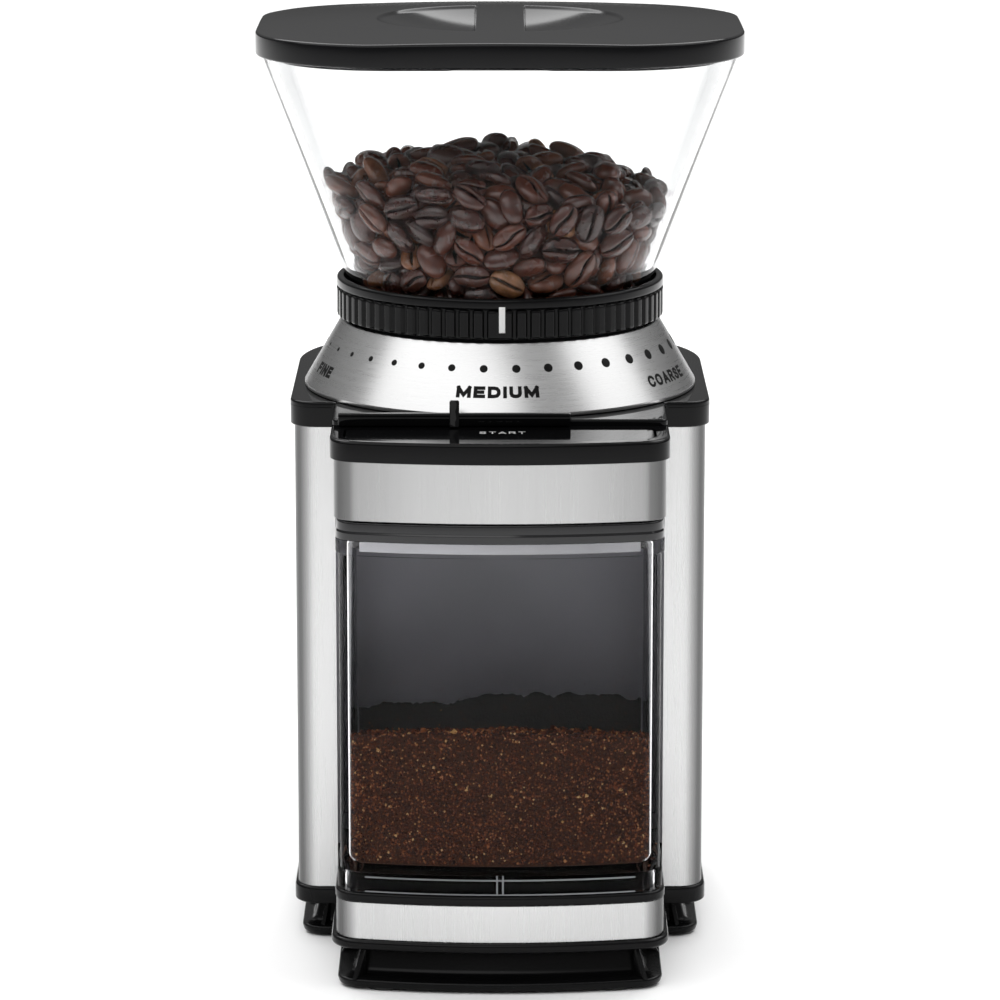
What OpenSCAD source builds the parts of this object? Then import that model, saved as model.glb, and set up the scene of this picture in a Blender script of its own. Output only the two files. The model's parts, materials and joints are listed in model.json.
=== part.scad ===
// Conical-hopper burr coffee grinder, modelled as an assembly of separate pieces.
// Millimetres, +Z up, front faces -Y, Z axis runs through the burrs, z = 0 is the worktop.

/* [Base] */
// Height of the top of the front base block, where the chamber stands
base_top = 28.5; // [27:0.5:30]
// Underside of the steel wrap around the housing
wrap_bottom = 15.3; // [15:0.1:16]
// Thickness of the stainless sheet
sheet_t = 0.8; // [0.6:0.1:0.9]

/* [Housing] */
// Half width of the housing over the steel
house_hw = 60.6; // [60:0.1:62]
// Depth of the housing front face in front of the burr axis
house_front = 32; // [31:0.5:33]
// Distance from the burr axis to the back of the steel
house_back = 86; // [85:0.5:86.5]
// Radius of the two rear corners
house_rr = 48; // [40:1:50]
// Radius of the two front corners
house_fr = 7; // [5:0.5:8]

/* [Front column] */
// Half width of the chamber column
col_hw = 47.5; // [46.5:0.5:48]
// Distance from the burr axis to the front of the column
col_front = 87; // [86:0.5:87.5]
// Radius of the bowed front
bow_r = 194; // [150:2:260]
// Radius of the column's front corners
col_r = 8; // [6:0.5:9]

/* [Control head] */
// Underside of the control head
head_bottom = 138.1; // [137.8:0.1:138.4]
// Top of the control head
head_top = 161.4; // [161:0.1:161.6]
// Travel of the start bar
start_travel = 1.5; // [1:0.1:1.6]
// Travel of the cup slider
slider_travel = 26; // [20:1:26]

/* [Dial collar and ring] */
// Radius of the brushed collar at its foot
collar_r = 58.4; // [57:0.1:58.8]
// Radius of the brushed collar at its top
collar_top_r = 47.4; // [46.8:0.1:48]
// Radius over the ribs of the hopper ring
ring_r = 48.7; // [48:0.1:49.5]
// Number of finger ribs
ring_ribs = 72; // [48:4:90]

/* [Hopper and lid] */
// Half width of the hopper mouth
hop_hw = 70; // [66:0.5:70.5]
// Half depth of the hopper mouth
hop_hd = 55.5; // [52:0.5:56]
// Wall thickness of the hopper
hop_wall = 2.6; // [2:0.1:3]
// Half width of the lid
lid_hw = 72; // [71.5:0.5:74]
// Half depth of the lid
lid_hd = 58; // [57:0.5:60]
// Radius of the finger recess in the lid
lid_recess_r = 36.3; // [32:0.1:38]

/* [Mill and drive] */
// Outer radius of both burrs
burr_r = 25; // [23:0.5:25.5]
// Gear module
gear_m = 1.25; // [1.25:0.25:1.25]
// Teeth on the large gear
gear_z = 36; // [36:1:36]
// Teeth on the motor pinion
pinion_z = 12; // [12:1:12]
// Radius of the motor
motor_r = 32; // [31:0.5:32]

/* [Hidden] */
$fn = 64;

deck_top = 163.2;
deck_lip = 155.6;
half_d = 90;                            // half of the overall depth
motor_y = gear_m * (gear_z + pinion_z) / 2;   // motor axis behind the burr axis
bow_y = bow_r - col_front;              // centre of the bowed front
ccx = col_hw - col_r;
ccy = bow_y - sqrt(pow(bow_r - col_r, 2) - ccx * ccx);
ring_z0 = 184;
ring_z1 = 196.2;
lip_z = 264;
lid_top = 273;

// ---- plan shapes -------------------------------------------------------
// D-shaped housing plan grown by o
module dplan(o = 0, yf = house_front, yb = house_back, hw = house_hw) {
  for (s = [-1, 1]) {
    if (house_fr + o > 0.1) translate([s * (hw - house_fr), -yf + house_fr]) circle(r = house_fr + o);
    translate([s * (hw - house_rr), yb - house_rr]) circle(r = house_rr + o);
  }
  translate([-hw - o, -yf + max(house_fr, -o)]) square([2 * (hw + o), yf + yb - max(house_fr, -o) - house_rr]);
  translate([-(hw - max(house_fr, -o)), -yf - o]) square([2 * (hw - max(house_fr, -o)), yf + yb - house_rr + o]);
  translate([-(hw - house_rr), 0]) square([2 * (hw - house_rr), yb + o]);
}

// column plan with a bowed front and tangent corners, grown by o, running back to y = yb
module cplan(o = 0, yb = -12, dy = 0) {
  translate([0, -dy]) {
    intersection() {
      translate([0, bow_y]) circle(r = bow_r + o, $fn = 128);
      polygon([[0, bow_y],
        [-ccx / (bow_r - col_r) * 260, bow_y + (ccy - bow_y) / (bow_r - col_r) * 260],
        [ccx / (bow_r - col_r) * 260, bow_y + (ccy - bow_y) / (bow_r - col_r) * 260]]);
      translate([-min(80, o > -col_r ? 80 : col_hw + o), -120]) square([2 * min(80, o > -col_r ? 80 : col_hw + o), 120 + yb + dy]);
    }
    if (col_r + o > 0.1) for (s = [-1, 1]) translate([s * ccx, ccy]) circle(r = col_r + o);
    translate([-col_hw - o, ccy]) square([2 * (col_hw + o), yb + dy - ccy]);
  }
}

// rounded rectangle by half width, half depth and corner radius
module rrect(hw, hd, r) {
  translate([-hw + r, -hd]) square([2 * (hw - r), 2 * hd]);
  translate([-hw, -hd + r]) square([2 * hw, 2 * (hd - r)]);
  for (sx = [-1, 1], sy = [-1, 1]) translate([sx * (hw - r), sy * (hd - r)]) circle(r = r);
}

module ex(z0, z1) translate([0, 0, z0]) linear_extrude(height = z1 - z0) children();
module cyl(z0, z1, r, x = 0, y = 0) translate([x, y, z0]) cylinder(h = z1 - z0, r = r);
module box(x0, x1, y0, y1, z0, z1) translate([x0, y0, z0]) cube([x1 - x0, y1 - y0, z1 - z0]);
module tube(z0, z1, ro, ri, x = 0, y = 0) difference() {
  cyl(z0, z1, ro, x, y);
  cyl(z0 - 1, z1 + 1, ri, x, y);
}

// ---- base --------------------------------------------------------------
module base_tray() color([0.05, 0.05, 0.055]) difference() {
  union() {
    ex(10, 13) dplan(1);
    difference() {
      ex(12.9, wrap_bottom) dplan(1);
      ex(12, 16) dplan(-2.9);
    }
    ex(11.6, base_top) cplan(-sheet_t, -12);
    ex(11.6, 14.6) cplan(1.5, -30);
    ex(25.7, base_top) cplan(0.3, -33);
  }
  ex(9, 26.5) cplan(-9, -16);
  cyl(9, 14, 24, 0, motor_y);
  for (p = [[44, -14], [-44, -14], [38, 50], [-38, 50]]) cyl(9, 12, 1.7, p[0], p[1]);
}

// flared foot: an inset wall, a wide flange and triangular gussets between them
module foot_plan(o) {
  dplan(o, 34, half_d, house_hw - 1);
  cplan(o - 0.2, -20, 3.2);
}
module gusset(x, y, a) translate([x, y, 0]) rotate([0, 0, a]) rotate([90, 0, 0])
  translate([0, 0, -0.7]) linear_extrude(height = 1.4) polygon([[-0.5, 3.2], [5, 3.2], [-0.5, 9.9]]);
module foot_skirt() color([0.02, 0.02, 0.02]) difference() {
  union() {
    difference() {
      union() { ex(3.2, 10) dplan(-4.5); ex(3.2, 11.6) cplan(-6, -30); }
      union() { ex(3, 12) dplan(-6.7); ex(3, 12) cplan(-8.2, -25); }
      box(-42, 42, -60, -26, 10, 12);
    }
    difference() {
      ex(0.8, 3.2) foot_plan(0);
      ex(0, 4) foot_plan(-17);
    }
    for (s = [-1, 1]) {
      gusset(s * 36, -80.2, -90);
      gusset(s * 41.3, -60, s > 0 ? 0 : 180);
      gusset(s * 51.5, -27.4, -90);
      for (y = [-8, 22]) gusset(s * 56, y, s > 0 ? 0 : 180);
      gusset(s * 10, 81.4, 90);
    }
  }
  for (s = [-1, 1]) {
    cyl(-1, 2.2, 6, s * 33, -80);
    cyl(-1, 2.2, 6, s * 29, 77.5);
  }
}
module rubber_feet() color([0.12, 0.12, 0.12]) for (s = [-1, 1]) {
  cyl(0, 2.2, 6, s * 33, -80);
  cyl(0, 2.2, 6, s * 29, 77.5);
}
module bottom_plate() color([0.08, 0.08, 0.08]) difference() {
  ex(7.6, 10) dplan(-7);
  for (i = [-5:5]) box(-20, 20, motor_y + i * 4 - 1, motor_y + i * 4 + 1, 7, 11);
  for (s = [-1, 1]) { cyl(7, 11, 1.8, s * 44, -14); cyl(7, 11, 1.8, s * 38, 50); }
  ex(7, 11) cplan(-8.1, -25);
}
module bottom_screws() color("silver") for (p = [[44, -14], [-44, -14], [38, 50], [-38, 50]]) difference() {
  union() { cyl(7.6, 12, 1.7, p[0], p[1]); cyl(6, 7.6, 3.2, p[0], p[1]); }
  box(p[0] - 2.2, p[0] + 2.2, p[1] - 0.4, p[1] + 0.4, 5, 6.8);
  box(p[0] - 0.4, p[0] + 0.4, p[1] - 2.2, p[1] + 2.2, 5, 6.8);
}
module front_band() color([0.8, 0.8, 0.8]) difference() {
  ex(14.6, 25.7) cplan(0, -33);
  ex(14, 26) cplan(-sheet_t, -30);
}

// ---- housing -----------------------------------------------------------
module steel_wrap() color([0.82, 0.82, 0.82]) difference() {
  ex(wrap_bottom, deck_lip) difference() { dplan(0); dplan(-sheet_t); }
  box(-48.4, 48.4, -50, -20, 0, 200);
  box(-35, 35, 20, 100, 30, 130);
}
module inner_frame() color([0.15, 0.15, 0.16]) difference() {
  ex(wrap_bottom, deck_lip) difference() { dplan(-sheet_t); dplan(-sheet_t - 2); }
  box(-50.4, 50.4, -50, -20, 0, 200);
  box(-30, 30, 20, 100, 38, 122);
  for (s = [-1, 1], z = [34, 126]) translate([s * 11, 60, z]) rotate([-90, 0, 0]) cylinder(h = 40, r = 1.7);
}
module bay_liner() color([0.06, 0.06, 0.07]) difference() {
  box(-50.2, 50.2, -31.2, -10.6, 28.6, 139.6);
  box(-47.9, 47.9, -40, -12.6, 20, head_bottom);
  box(-15.6, 15.6, -40, -29, 120, 150);
}
module rear_cover() color([0.07, 0.07, 0.075]) difference() {
  intersection() {
    ex(30.2, 129.8) difference() { dplan(0.6); dplan(-sheet_t); }
    box(-34.8, 34.8, 20, 100, 20, 140);
  }
  for (i = [0:13]) box(-22, 22, 60, 100, 62 + i * 4.4, 64.4 + i * 4.4);
  for (s = [-1, 1], z = [34, 126]) translate([s * 11, 60, z]) rotate([-90, 0, 0]) cylinder(h = 40, r = 1.8);
  translate([0, 60, 46]) rotate([-90, 0, 0]) cylinder(h = 40, r = 6.5);
}
module rear_screws() color("silver") for (s = [-1, 1], z = [34, 126]) translate([s * 11, 0, z]) rotate([-90, 0, 0]) {
  translate([0, 0, 82]) cylinder(h = house_back + 0.6 - 82, r = 1.7);
  difference() {
    translate([0, 0, house_back + 0.6]) cylinder(h = 1.6, r = 3.2);
    translate([-2.2, -0.4, house_back + 1.4]) cube([4.4, 0.8, 2]);
    translate([-0.4, -2.2, house_back + 1.4]) cube([0.8, 4.4, 2]);
  }
}
module cord_gland() color([0.1, 0.1, 0.1]) translate([0, 0, 46]) rotate([-90, 0, 0]) difference() {
  union() {
    translate([0, 0, 78]) cylinder(h = half_d - 78, r = 6.4);
    translate([0, 0, house_back + 0.6]) cylinder(h = 1.8, r = 9);
    translate([0, 0, 81]) cylinder(h = 2, r = 9);
  }
  translate([0, 0, 70]) cylinder(h = 30, r = 3.7);
}

// ---- control head ------------------------------------------------------
module front_of(y) translate([-100, -200]) square([200, 200 + y]);
module head_shell() color([0.04, 0.04, 0.045]) difference() {
  union() {
    difference() {
      union() {
        ex(head_bottom, 155.4) cplan(-sheet_t, -33.3);
        ex(155.4, head_top) cplan(1, -33.3);
      }
      ex(140, 158.9) cplan(-3, -20);
    }
    ex(155.5, 157) intersection() { cplan(-2.9, -20); front_of(-63); }
    cyl(149, 156, 6, 0, -75);
    for (s = [-1, 1], y = [-79, -62]) cyl(139, 146, 2.5, s * 34, y);
  }
  ex(157, 170) intersection() { cplan(-2.9, -20); front_of(-64.7); }
  cyl(150, 158, 4.6, 0, -75);
  for (s = [-1, 1]) cyl(150, 158, 2.06, s * 35, -75);
  cyl(154, 158, 2.2, 16, -75);
  box(-15.5, 15.5, -62.5, -60.7, 150, 170);
  box(-15.3, 15.3, -57.4, -30, 130, 170);
}
module head_band() color([0.8, 0.8, 0.8]) difference() {
  ex(head_bottom, 155.4) cplan(0, -33);
  ex(head_bottom - 1, 157) cplan(-sheet_t, -30);
}
module start_bar() color([0.03, 0.03, 0.03]) {
  ex(158.9, head_top) intersection() { cplan(-3.3, -20); front_of(-65.1); }
  for (s = [-1, 1]) cyl(152, 158.9, 2, s * 35, -75);
  cyl(155.4, 158.9, 1.5, 16, -75);
}
// coil spring under the start bar
sp_n = 12; sp_turns = 4; sp_r = 3.4; sp_w = 0.4; sp_z0 = 150.5; sp_z1 = 158.4;
sp_pts = [for (i = [0:sp_n * sp_turns]) let (a = 360 * i / sp_n, z = sp_z0 + (sp_z1 - sp_z0) * i / (sp_n * sp_turns))
  for (k = [0:5]) let (b = 60 * k) [(sp_r + sp_w * cos(b)) * cos(a), (sp_r + sp_w * cos(b)) * sin(a), z + sp_w * sin(b)]];
sp_m = sp_n * sp_turns;
sp_faces = concat(
  [for (i = [0:sp_m - 1], k = [0:5]) let (k2 = (k + 1) % 6) [i * 6 + k, i * 6 + k2, (i + 1) * 6 + k2, (i + 1) * 6 + k]],
  [[5, 4, 3, 2, 1, 0], [for (k = [0:5]) sp_m * 6 + k]]);
module button_spring() color("silver") translate([0, -75, 0]) polyhedron(points = sp_pts, faces = sp_faces);

module cup_slider() color([0.03, 0.03, 0.03]) {
  box(-46.5, 20.3, -62.8, -60.3, 161.7, 165.4);
  difference() {
    box(-14.5, -11.7, -64.6, -60.3, 161.7, 169);
    translate([-20, -66.2, 171]) rotate([0, 90, 0]) cylinder(h = 12, r = 3.4);
  }
  box(-14.1, -12.1, -62.2, -61, 151.6, 162);
}
module timer_board() color([0.1, 0.35, 0.18]) difference() {
  intersection() {
    box(-40, 40, -81, -58.6, 146, 147.6);
    ex(145, 149) cplan(-3.3, -20);
  }
  for (s = [-1, 1], y = [-79, -62]) cyl(145, 149, 1.2, s * 34, y);
}
module board_parts() {
  color([0.15, 0.2, 0.6]) box(-30, -16, -80, -68, 147.6, 153.5);
  color([0.75, 0.7, 0.2]) box(24, 30, -72, -64, 147.6, 152.5);
  color([0.1, 0.1, 0.1]) { cyl(147.6, 154.5, 3, -9.5, -75.5); cyl(147.6, 153, 2.5, 25, -77.5); }
}
module slide_potentiometer() color([0.3, 0.3, 0.32]) difference() {
  box(-22, 22, -65.2, -59, 147.6, 153);
  box(-16.2, 16.2, -62.8, -60.4, 151, 154);
}
module start_switch() color([0.2, 0.2, 0.2]) {
  box(13, 19, -78, -72, 147.6, 152.4);
  cyl(152.4, 153.6, 1.7, 16, -75);
}
module chamber_switch() color([0.5, 0.1, 0.1]) {
  box(-43, -37, -10.6, -0.6, 118, 134);
  box(-41.5, -38.5, -10.6, -9.5, 134, 136);
}

// ---- deck and dial collar ----------------------------------------------
module top_deck() color([0.03, 0.03, 0.035]) difference() {
  union() {
    ex(deck_lip, deck_top) dplan(1.2);
    box(-48.2, 48.2, -60, -30, head_top, deck_top);
  }
  ex(150, 161.2) dplan(-sheet_t);
  box(-48.2, 48.2, -40, -20, 150, 161.2);
  cyl(150, 170, 44.5);
}
module dial_collar() color([0.78, 0.78, 0.78]) rotate_extrude($fn = 128) polygon([
  [collar_r - 1.2, deck_top], [collar_r, deck_top], [collar_r, deck_top + 1.2],
  [collar_top_r, 183.2], [collar_top_r - 1.3, 183.2], [collar_r - 1.2, deck_top + 1.1]]);

// ---- mill --------------------------------------------------------------
module mill_housing() color([0.2, 0.2, 0.21]) difference() {
  union() {
    ex(149.2, 152.2) difference() { dplan(-3); box2(-50.4, 50.4, -50, -25); }
    box(-20, 20, -30, 0, 149.2, 152.2);
    cyl(149.2, 180, 36);
    cyl(163, 166, 40);
    cyl(141.8, 149.2, 29.5);
    cyl(141.8, 149.2, 14.5, 0, motor_y);
    box(-15, 15, -57, -30, 138.4, 160.6);
    box(-15, 15, -34, 0, 152, 160.6);
  }
  cyl(152.2, 181, 32);
  cyl(140, 149.2, 27);
  cyl(140, 149.2, 12, 0, motor_y);
  cyl(148, 153, 8);
  // sloping chute out of the mill and down over the chamber
  rotate([90, 0, 90]) translate([0, 0, -12.5]) linear_extrude(height = 25)
    polygon([[-26, 152.2], [-26, 158.6], [-47, 158.6], [-54.5, 152], [-54.5, 137], [-37, 137], [-37, 146]]);
}
module box2(x0, x1, y0, y1) translate([x0, y0]) square([x1 - x0, y1 - y0]);
module gearbox_cover() color([0.25, 0.25, 0.26]) difference() {
  union() {
    cyl(139.8, 141.8, 36);
    cyl(139.8, 141.8, 33, 0, motor_y);
    cyl(135.5, 139.8, 10);
  }
  cyl(130, 150, 7);
  cyl(130, 150, 5, 0, motor_y);
  box(-16, 16, -60, -29.7, 130, 150);
}
module burr_bearings() color([0.72, 0.6, 0.3]) {
  tube(135.5, 142, 7, 4.04);
  tube(149.2, 152.6, 8, 4.04);
}
module burr_shaft() color("silver") cyl(135.7, 166, 4);
module feed_auger() color([0.7, 0.7, 0.7]) difference() {
  union() {
    cyl(163, 166, 8);
    translate([0, 0, 166]) cylinder(h = 4.5, r1 = 8, r2 = 4.5);
  }
  cyl(162, 166, 4);
  for (a = [0, 120, 240]) rotate([0, 0, a]) translate([6.5, -1.2, 163.8]) rotate([0, 25, 12]) cube([4, 2.4, 9]);
}
module burr_carrier() color([0.3, 0.3, 0.3]) difference() {
  union() {
    cyl(154, 157.5, 26);
    cyl(153, 154, 9);
    for (a = [45:90:315]) rotate([0, 0, a]) box(22, 31, -1.5, 1.5, 152.8, 157.2);
  }
  cyl(150, 160, 4);
}
module burr_ring(z0, z1, hole, up) difference() {
  cyl(z0, z1, burr_r);
  cyl(z0 - 1, z1 + 1, hole);
  for (a = [0:30:330]) rotate([0, 0, a])
    box(hole - 3, burr_r + 1, -1, 1, up ? z1 - 1.4 : z0 - 1, up ? z1 + 1 : z0 + 1.4);
  for (a = [7.5:15:352.5]) rotate([0, 0, a])
    box(burr_r - 4, burr_r + 1, -0.6, 0.6, up ? z1 - 0.7 : z0 - 1, up ? z1 + 1 : z0 + 0.7);
  for (a = [15, 135, 255]) rotate([0, 0, a]) {
    cyl(z0 - 1, z1 + 1, 1.7, 17.5);
    if (up) cyl(z1 - 2.4, z1 + 1, 2.8, 17.5);
    else cyl(z0 - 1, z0 + 2.4, 2.8, 17.5);
  }
}
module lower_burr() color([0.6, 0.6, 0.62]) burr_ring(157.5, 163, 9.5, true);
module upper_burr() color([0.6, 0.6, 0.62]) burr_ring(163.6, 169.1, 11.5, false);
module lower_burr_screws() color("silver") for (a = [15, 135, 255]) rotate([0, 0, a]) {
  cyl(157.5, 160.6, 1.6, 17.5);
  cyl(160.6, 162.2, 2.7, 17.5);
}
module upper_burr_screws() color("silver") for (a = [15, 135, 255]) rotate([0, 0, a]) {
  cyl(166, 169.1, 1.6, 17.5);
  cyl(164.4, 166, 2.7, 17.5);
}
module upper_burr_carrier() color([0.75, 0.1, 0.08]) difference() {
  union() {
    cyl(169.1, 176, 31.4);
    tube(176, 182.4, 31.4, 28.4);
    for (s = [0, 180]) rotate([0, 0, s]) box(30, 39.5, -4, 4, 180.6, 182.4);
  }
  translate([0, 0, 169]) cylinder(h = 7.1, r1 = 11.5, r2 = 24);
}
module grind_adjust_ring() color([0.1, 0.1, 0.1]) difference() {
  tube(166.2, 183.6, 43, 36.06);
  for (s = [0, 180]) rotate([0, 0, s]) box(30, 41, -5, 5, 179.8, 190);
}

// ---- hopper ------------------------------------------------------------
module hopper_ring() color([0.03, 0.03, 0.03]) difference() {
  union() {
    cyl(ring_z0, ring_z1, ring_r - 1);
    cyl(ring_z1 - 2.6, ring_z1, ring_r);
    for (i = [0:ring_ribs - 1]) rotate([0, 0, (i + 0.5) * 360 / ring_ribs]) box(ring_r - 2, ring_r, -1.3, 1.3, ring_z0 + 0.4, ring_z1 - 2.2);
    box(-2.1, 2.1, -ring_r, -ring_r + 2, ring_z0 + 0.4, ring_z1 - 2.2);
  }
  cyl(ring_z0 - 1, ring_z1 + 1, 43.8);
  cyl(190, ring_z1 + 1, 46.4);
}
module indicator_mark() color("white") box(-0.9, 0.9, -ring_r - 0.3, -ring_r, 186.4, 194);
module hopper() color([0.9, 0.9, 0.92, 0.4]) difference() {
  union() {
    cyl(ring_z0 + 0.1, 190, 43.6);
    hull() {
      translate([0, 0, 190]) cylinder(h = 0.1, r = 43.6);
      translate([0, 0, lip_z]) linear_extrude(height = 1) rrect(hop_hw, hop_hd, 38);
    }
  }
  hull() {
    translate([0, 0, 189.9]) cylinder(h = 0.1, r = 43.6 - hop_wall);
    translate([0, 0, lip_z + 0.2]) linear_extrude(height = 1) rrect(hop_hw - hop_wall, hop_hd - hop_wall, 38 - hop_wall);
  }
  cyl(186.6, 190, 43.6 - hop_wall);
  cyl(180, 188, 22);
}
bowl_d = 11;
bowl_r = (lid_recess_r * lid_recess_r + bowl_d * bowl_d) / (2 * bowl_d);
// scooped bowl of the finger recess, as a solid of revolution grown by g
module bowl(g) rotate_extrude() polygon(concat(
  [for (i = [0:8]) let (r = (lid_recess_r + g) * i / 8)
    [r, lid_top - bowl_d + bowl_r - sqrt(pow(bowl_r + g, 2) - r * r)]],
  [[lid_recess_r + g, lid_top + 5], [0, lid_top + 5]]));
module hopper_lid() color([0.04, 0.04, 0.045]) difference() {
  union() {
    difference() {
      union() {
        ex(263.9, 270.6) rrect(lid_hw, lid_hd, 40);
        ex(270.5, 271.6) rrect(lid_hw - 1.2, lid_hd - 1.2, 38.8);
        ex(271.5, 272.4) rrect(lid_hw - 8, lid_hd - 8, 36);
        ex(272.3, lid_top) rrect(lid_hw - 22, lid_hd - 20, 34);
      }
      ex(263, 265.1) rrect(lid_hw - 1.7, lid_hd - 2.2, 38);
      ex(263, 268.6) rrect(hop_hw - 2.9, hop_hd - 2.9, 35.1);
    }
    ex(262.6, 269) difference() {
      rrect(hop_hw - hop_wall - 2.2, hop_hd - hop_wall - 1.6, 34);
      rrect(hop_hw - hop_wall - 4.2, hop_hd - hop_wall - 3.6, 32);
    }
    intersection() {
      bowl(2.2);
      cyl(255, 270, 45);
    }
  }
  difference() {
    bowl(0);
    box(-7.4, 7.4, -50, 50, 250, 280);
  }
}

// ---- chamber -----------------------------------------------------------
module chamber() color([0.35, 0.35, 0.4, 0.5]) difference() {
  union() {
    ex(28.6, 132) cplan(-1.3, -14.2);
    ex(128.2, 132) cplan(-0.4, -14);
    ex(28.6, 34) cplan(-0.4, -14);
  }
  ex(35.9, 140) cplan(-4, -16.8);
  ex(20, 33.6) cplan(-3, -16.2);
  box(-0.8, 0.8, -100, -80, 20, 33);
}
module chamber_lid() color([0.05, 0.05, 0.06]) difference() {
  union() {
    ex(132.1, 137.8) cplan(-0.5, -13.8);
    ex(129, 132.1) cplan(-4.4, -17.2);
  }
  ex(120, 136) cplan(-6.4, -19);
  box(-12.5, 12.5, -55, -37, 120, 140);
}

// ---- drive -------------------------------------------------------------
// involute spur gear outline, a tooth centred on +X
pa = 25;
function inv(a) = tan(a) * 180 / PI - a;
function flank(rb, ht, r) = ht - inv(acos(min(1, rb / r)));
module gear2d(z, bl = 0.15) {
  rp = gear_m * z / 2; rb = rp * cos(pa); ra = rp + 1; rf = rp - 1.3;
  ht = 90 / z + inv(pa) - bl / rp * 180 / PI;
  r0 = max(rb, rf);
  rr = [for (i = [0:3]) r0 + (ra - r0) * i / 3];
  polygon([for (t = [0:z - 1]) let (c = 360 * t / z) each concat(
    [[rf * cos(c - flank(rb, ht, r0) - 0.6), rf * sin(c - flank(rb, ht, r0) - 0.6)]],
    [for (r = rr) [r * cos(c - flank(rb, ht, r)), r * sin(c - flank(rb, ht, r))]],
    [for (i = [3:-1:0]) [rr[i] * cos(c + flank(rb, ht, rr[i])), rr[i] * sin(c + flank(rb, ht, rr[i]))]],
    [[rf * cos(c + flank(rb, ht, r0) + 0.6), rf * sin(c + flank(rb, ht, r0) + 0.6)]])]);
}
module drive_gear() color([0.85, 0.82, 0.7]) difference() {
  ex(142.6, 148.6) gear2d(gear_z);
  cyl(140, 150, 4);
  difference() { cyl(147, 150, 18); cyl(140, 150, 8); }
}
module pinion() color("silver") difference() {
  translate([0, motor_y, 0]) ex(142.4, 148.8) rotate([0, 0, 180 / pinion_z]) gear2d(pinion_z);
  cyl(140, 150, 3, 0, motor_y);
}
module motor_shaft() color("silver") cyl(32.5, 148.8, 3, 0, motor_y);
module armature() color([0.45, 0.45, 0.47]) difference() {
  cyl(70, 110, 18.4, 0, motor_y);
  cyl(60, 120, 3, 0, motor_y);
  for (a = [0:30:330]) translate([0, motor_y, 0]) rotate([0, 0, a]) box(12.5, 20, -1.1, 1.1, 60, 120);
}
module armature_windings() color([0.72, 0.4, 0.2]) {
  tube(62.4, 70, 16.6, 3, 0, motor_y);
  tube(110, 117.6, 16.6, 3, 0, motor_y);
}
module commutator() color([0.75, 0.45, 0.25]) difference() {
  cyl(53, 62.4, 9, 0, motor_y);
  cyl(50, 66, 3, 0, motor_y);
  for (a = [0:30:330]) translate([0, motor_y, 0]) rotate([0, 0, a]) box(8, 10, -0.25, 0.25, 50, 61.4);
}
module cooling_fan() color([0.9, 0.9, 0.88]) difference() {
  union() {
    cyl(33, 44, 7, 0, motor_y);
    cyl(42.5, 44, 26, 0, motor_y);
    for (a = [0:36:324]) translate([0, motor_y, 0]) rotate([0, 0, a]) box(6, 25.5, -0.8, 0.8, 34, 42.6);
  }
  cyl(30, 50, 3, 0, motor_y);
}
module motor_stator() color([0.5, 0.5, 0.52]) difference() {
  tube(70, 110, motor_r, 19.2, 0, motor_y);
  for (a = [0, 180]) translate([0, motor_y, 0]) rotate([0, 0, a]) box(19, 26, -9, 9, 69, 111);
}
module field_coils() color([0.75, 0.42, 0.2]) for (a = [0, 180]) translate([0, motor_y, 0]) rotate([0, 0, a]) {
  box(20, 25.6, -8.6, 8.6, 70, 110);
  intersection() {
    translate([0, -motor_y, 0]) union() { tube(110, 116, 25.6, 19.6, 0, motor_y); tube(64, 70, 25.6, 19.6, 0, motor_y); }
    box(0, 40, -24, 24, 60, 120);
  }
}
module bell(z0, z1) {
  difference() {
    union() {
      cyl(z0, z1, 12, 0, motor_y);
      for (a = [45, 135]) translate([0, motor_y, 0]) rotate([0, 0, a]) box(-31.6, 31.6, -4, 4, z0, z1);
    }
    cyl(z0 - 1, z1 + 1, 7, 0, motor_y);
  }
}
module upper_end_bell() color([0.6, 0.6, 0.62]) {
  bell(126, 131);
  for (a = [45:90:315]) translate([0, motor_y, 0]) rotate([0, 0, a]) cyl(110, 126, 2.6, 28.9);
}
module lower_end_bell() color([0.6, 0.6, 0.62]) {
  bell(46, 51);
  for (a = [45:90:315]) translate([0, motor_y, 0]) rotate([0, 0, a]) cyl(51, 70, 2.6, 28.9);
}
module motor_bearings() color([0.72, 0.6, 0.3]) for (z = [45.4, 125.4]) tube(z, z + 6.2, 7, 3.04, 0, motor_y);
module motor_mounts() color([0.1, 0.1, 0.1]) for (a = [45:90:315]) translate([0, motor_y, 0]) rotate([0, 0, a]) cyl(131, 139.8, 4, 27);
module brush_holders() color([0.25, 0.2, 0.15]) for (a = [0, 180]) translate([0, motor_y, 0]) rotate([0, 0, a]) difference() {
  box(11, 26, -4.5, 4.5, 51.4, 62);
  box(10, 24, -3, 3, 54, 60);
}
module carbon_brushes() color([0.15, 0.15, 0.15]) for (a = [0, 180]) translate([0, motor_y, 0]) rotate([0, 0, a]) box(9.3, 20, -3, 3, 54, 60);

base_tray();
foot_skirt();
rubber_feet();
bottom_plate();
bottom_screws();
front_band();
steel_wrap();
inner_frame();
bay_liner();
rear_cover();
rear_screws();
cord_gland();
head_shell();
head_band();
top_deck();
dial_collar();
mill_housing();
gearbox_cover();
burr_bearings();
motor_stator();
field_coils();
upper_end_bell();
lower_end_bell();
brush_holders();
carbon_brushes();
motor_bearings();
motor_mounts();
timer_board();
board_parts();
slide_potentiometer();
start_switch();
button_spring();
chamber_switch();
start_bar();
cup_slider();
grind_adjust_ring();
upper_burr();
upper_burr_carrier();
upper_burr_screws();
hopper();
hopper_ring();
indicator_mark();
hopper_lid();
lower_burr();
burr_carrier();
lower_burr_screws();
burr_shaft();
drive_gear();
feed_auger();
chamber();
chamber_lid();
motor_shaft();
armature();
armature_windings();
commutator();
pinion();
cooling_fan();
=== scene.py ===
import json
import math
import random

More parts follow.
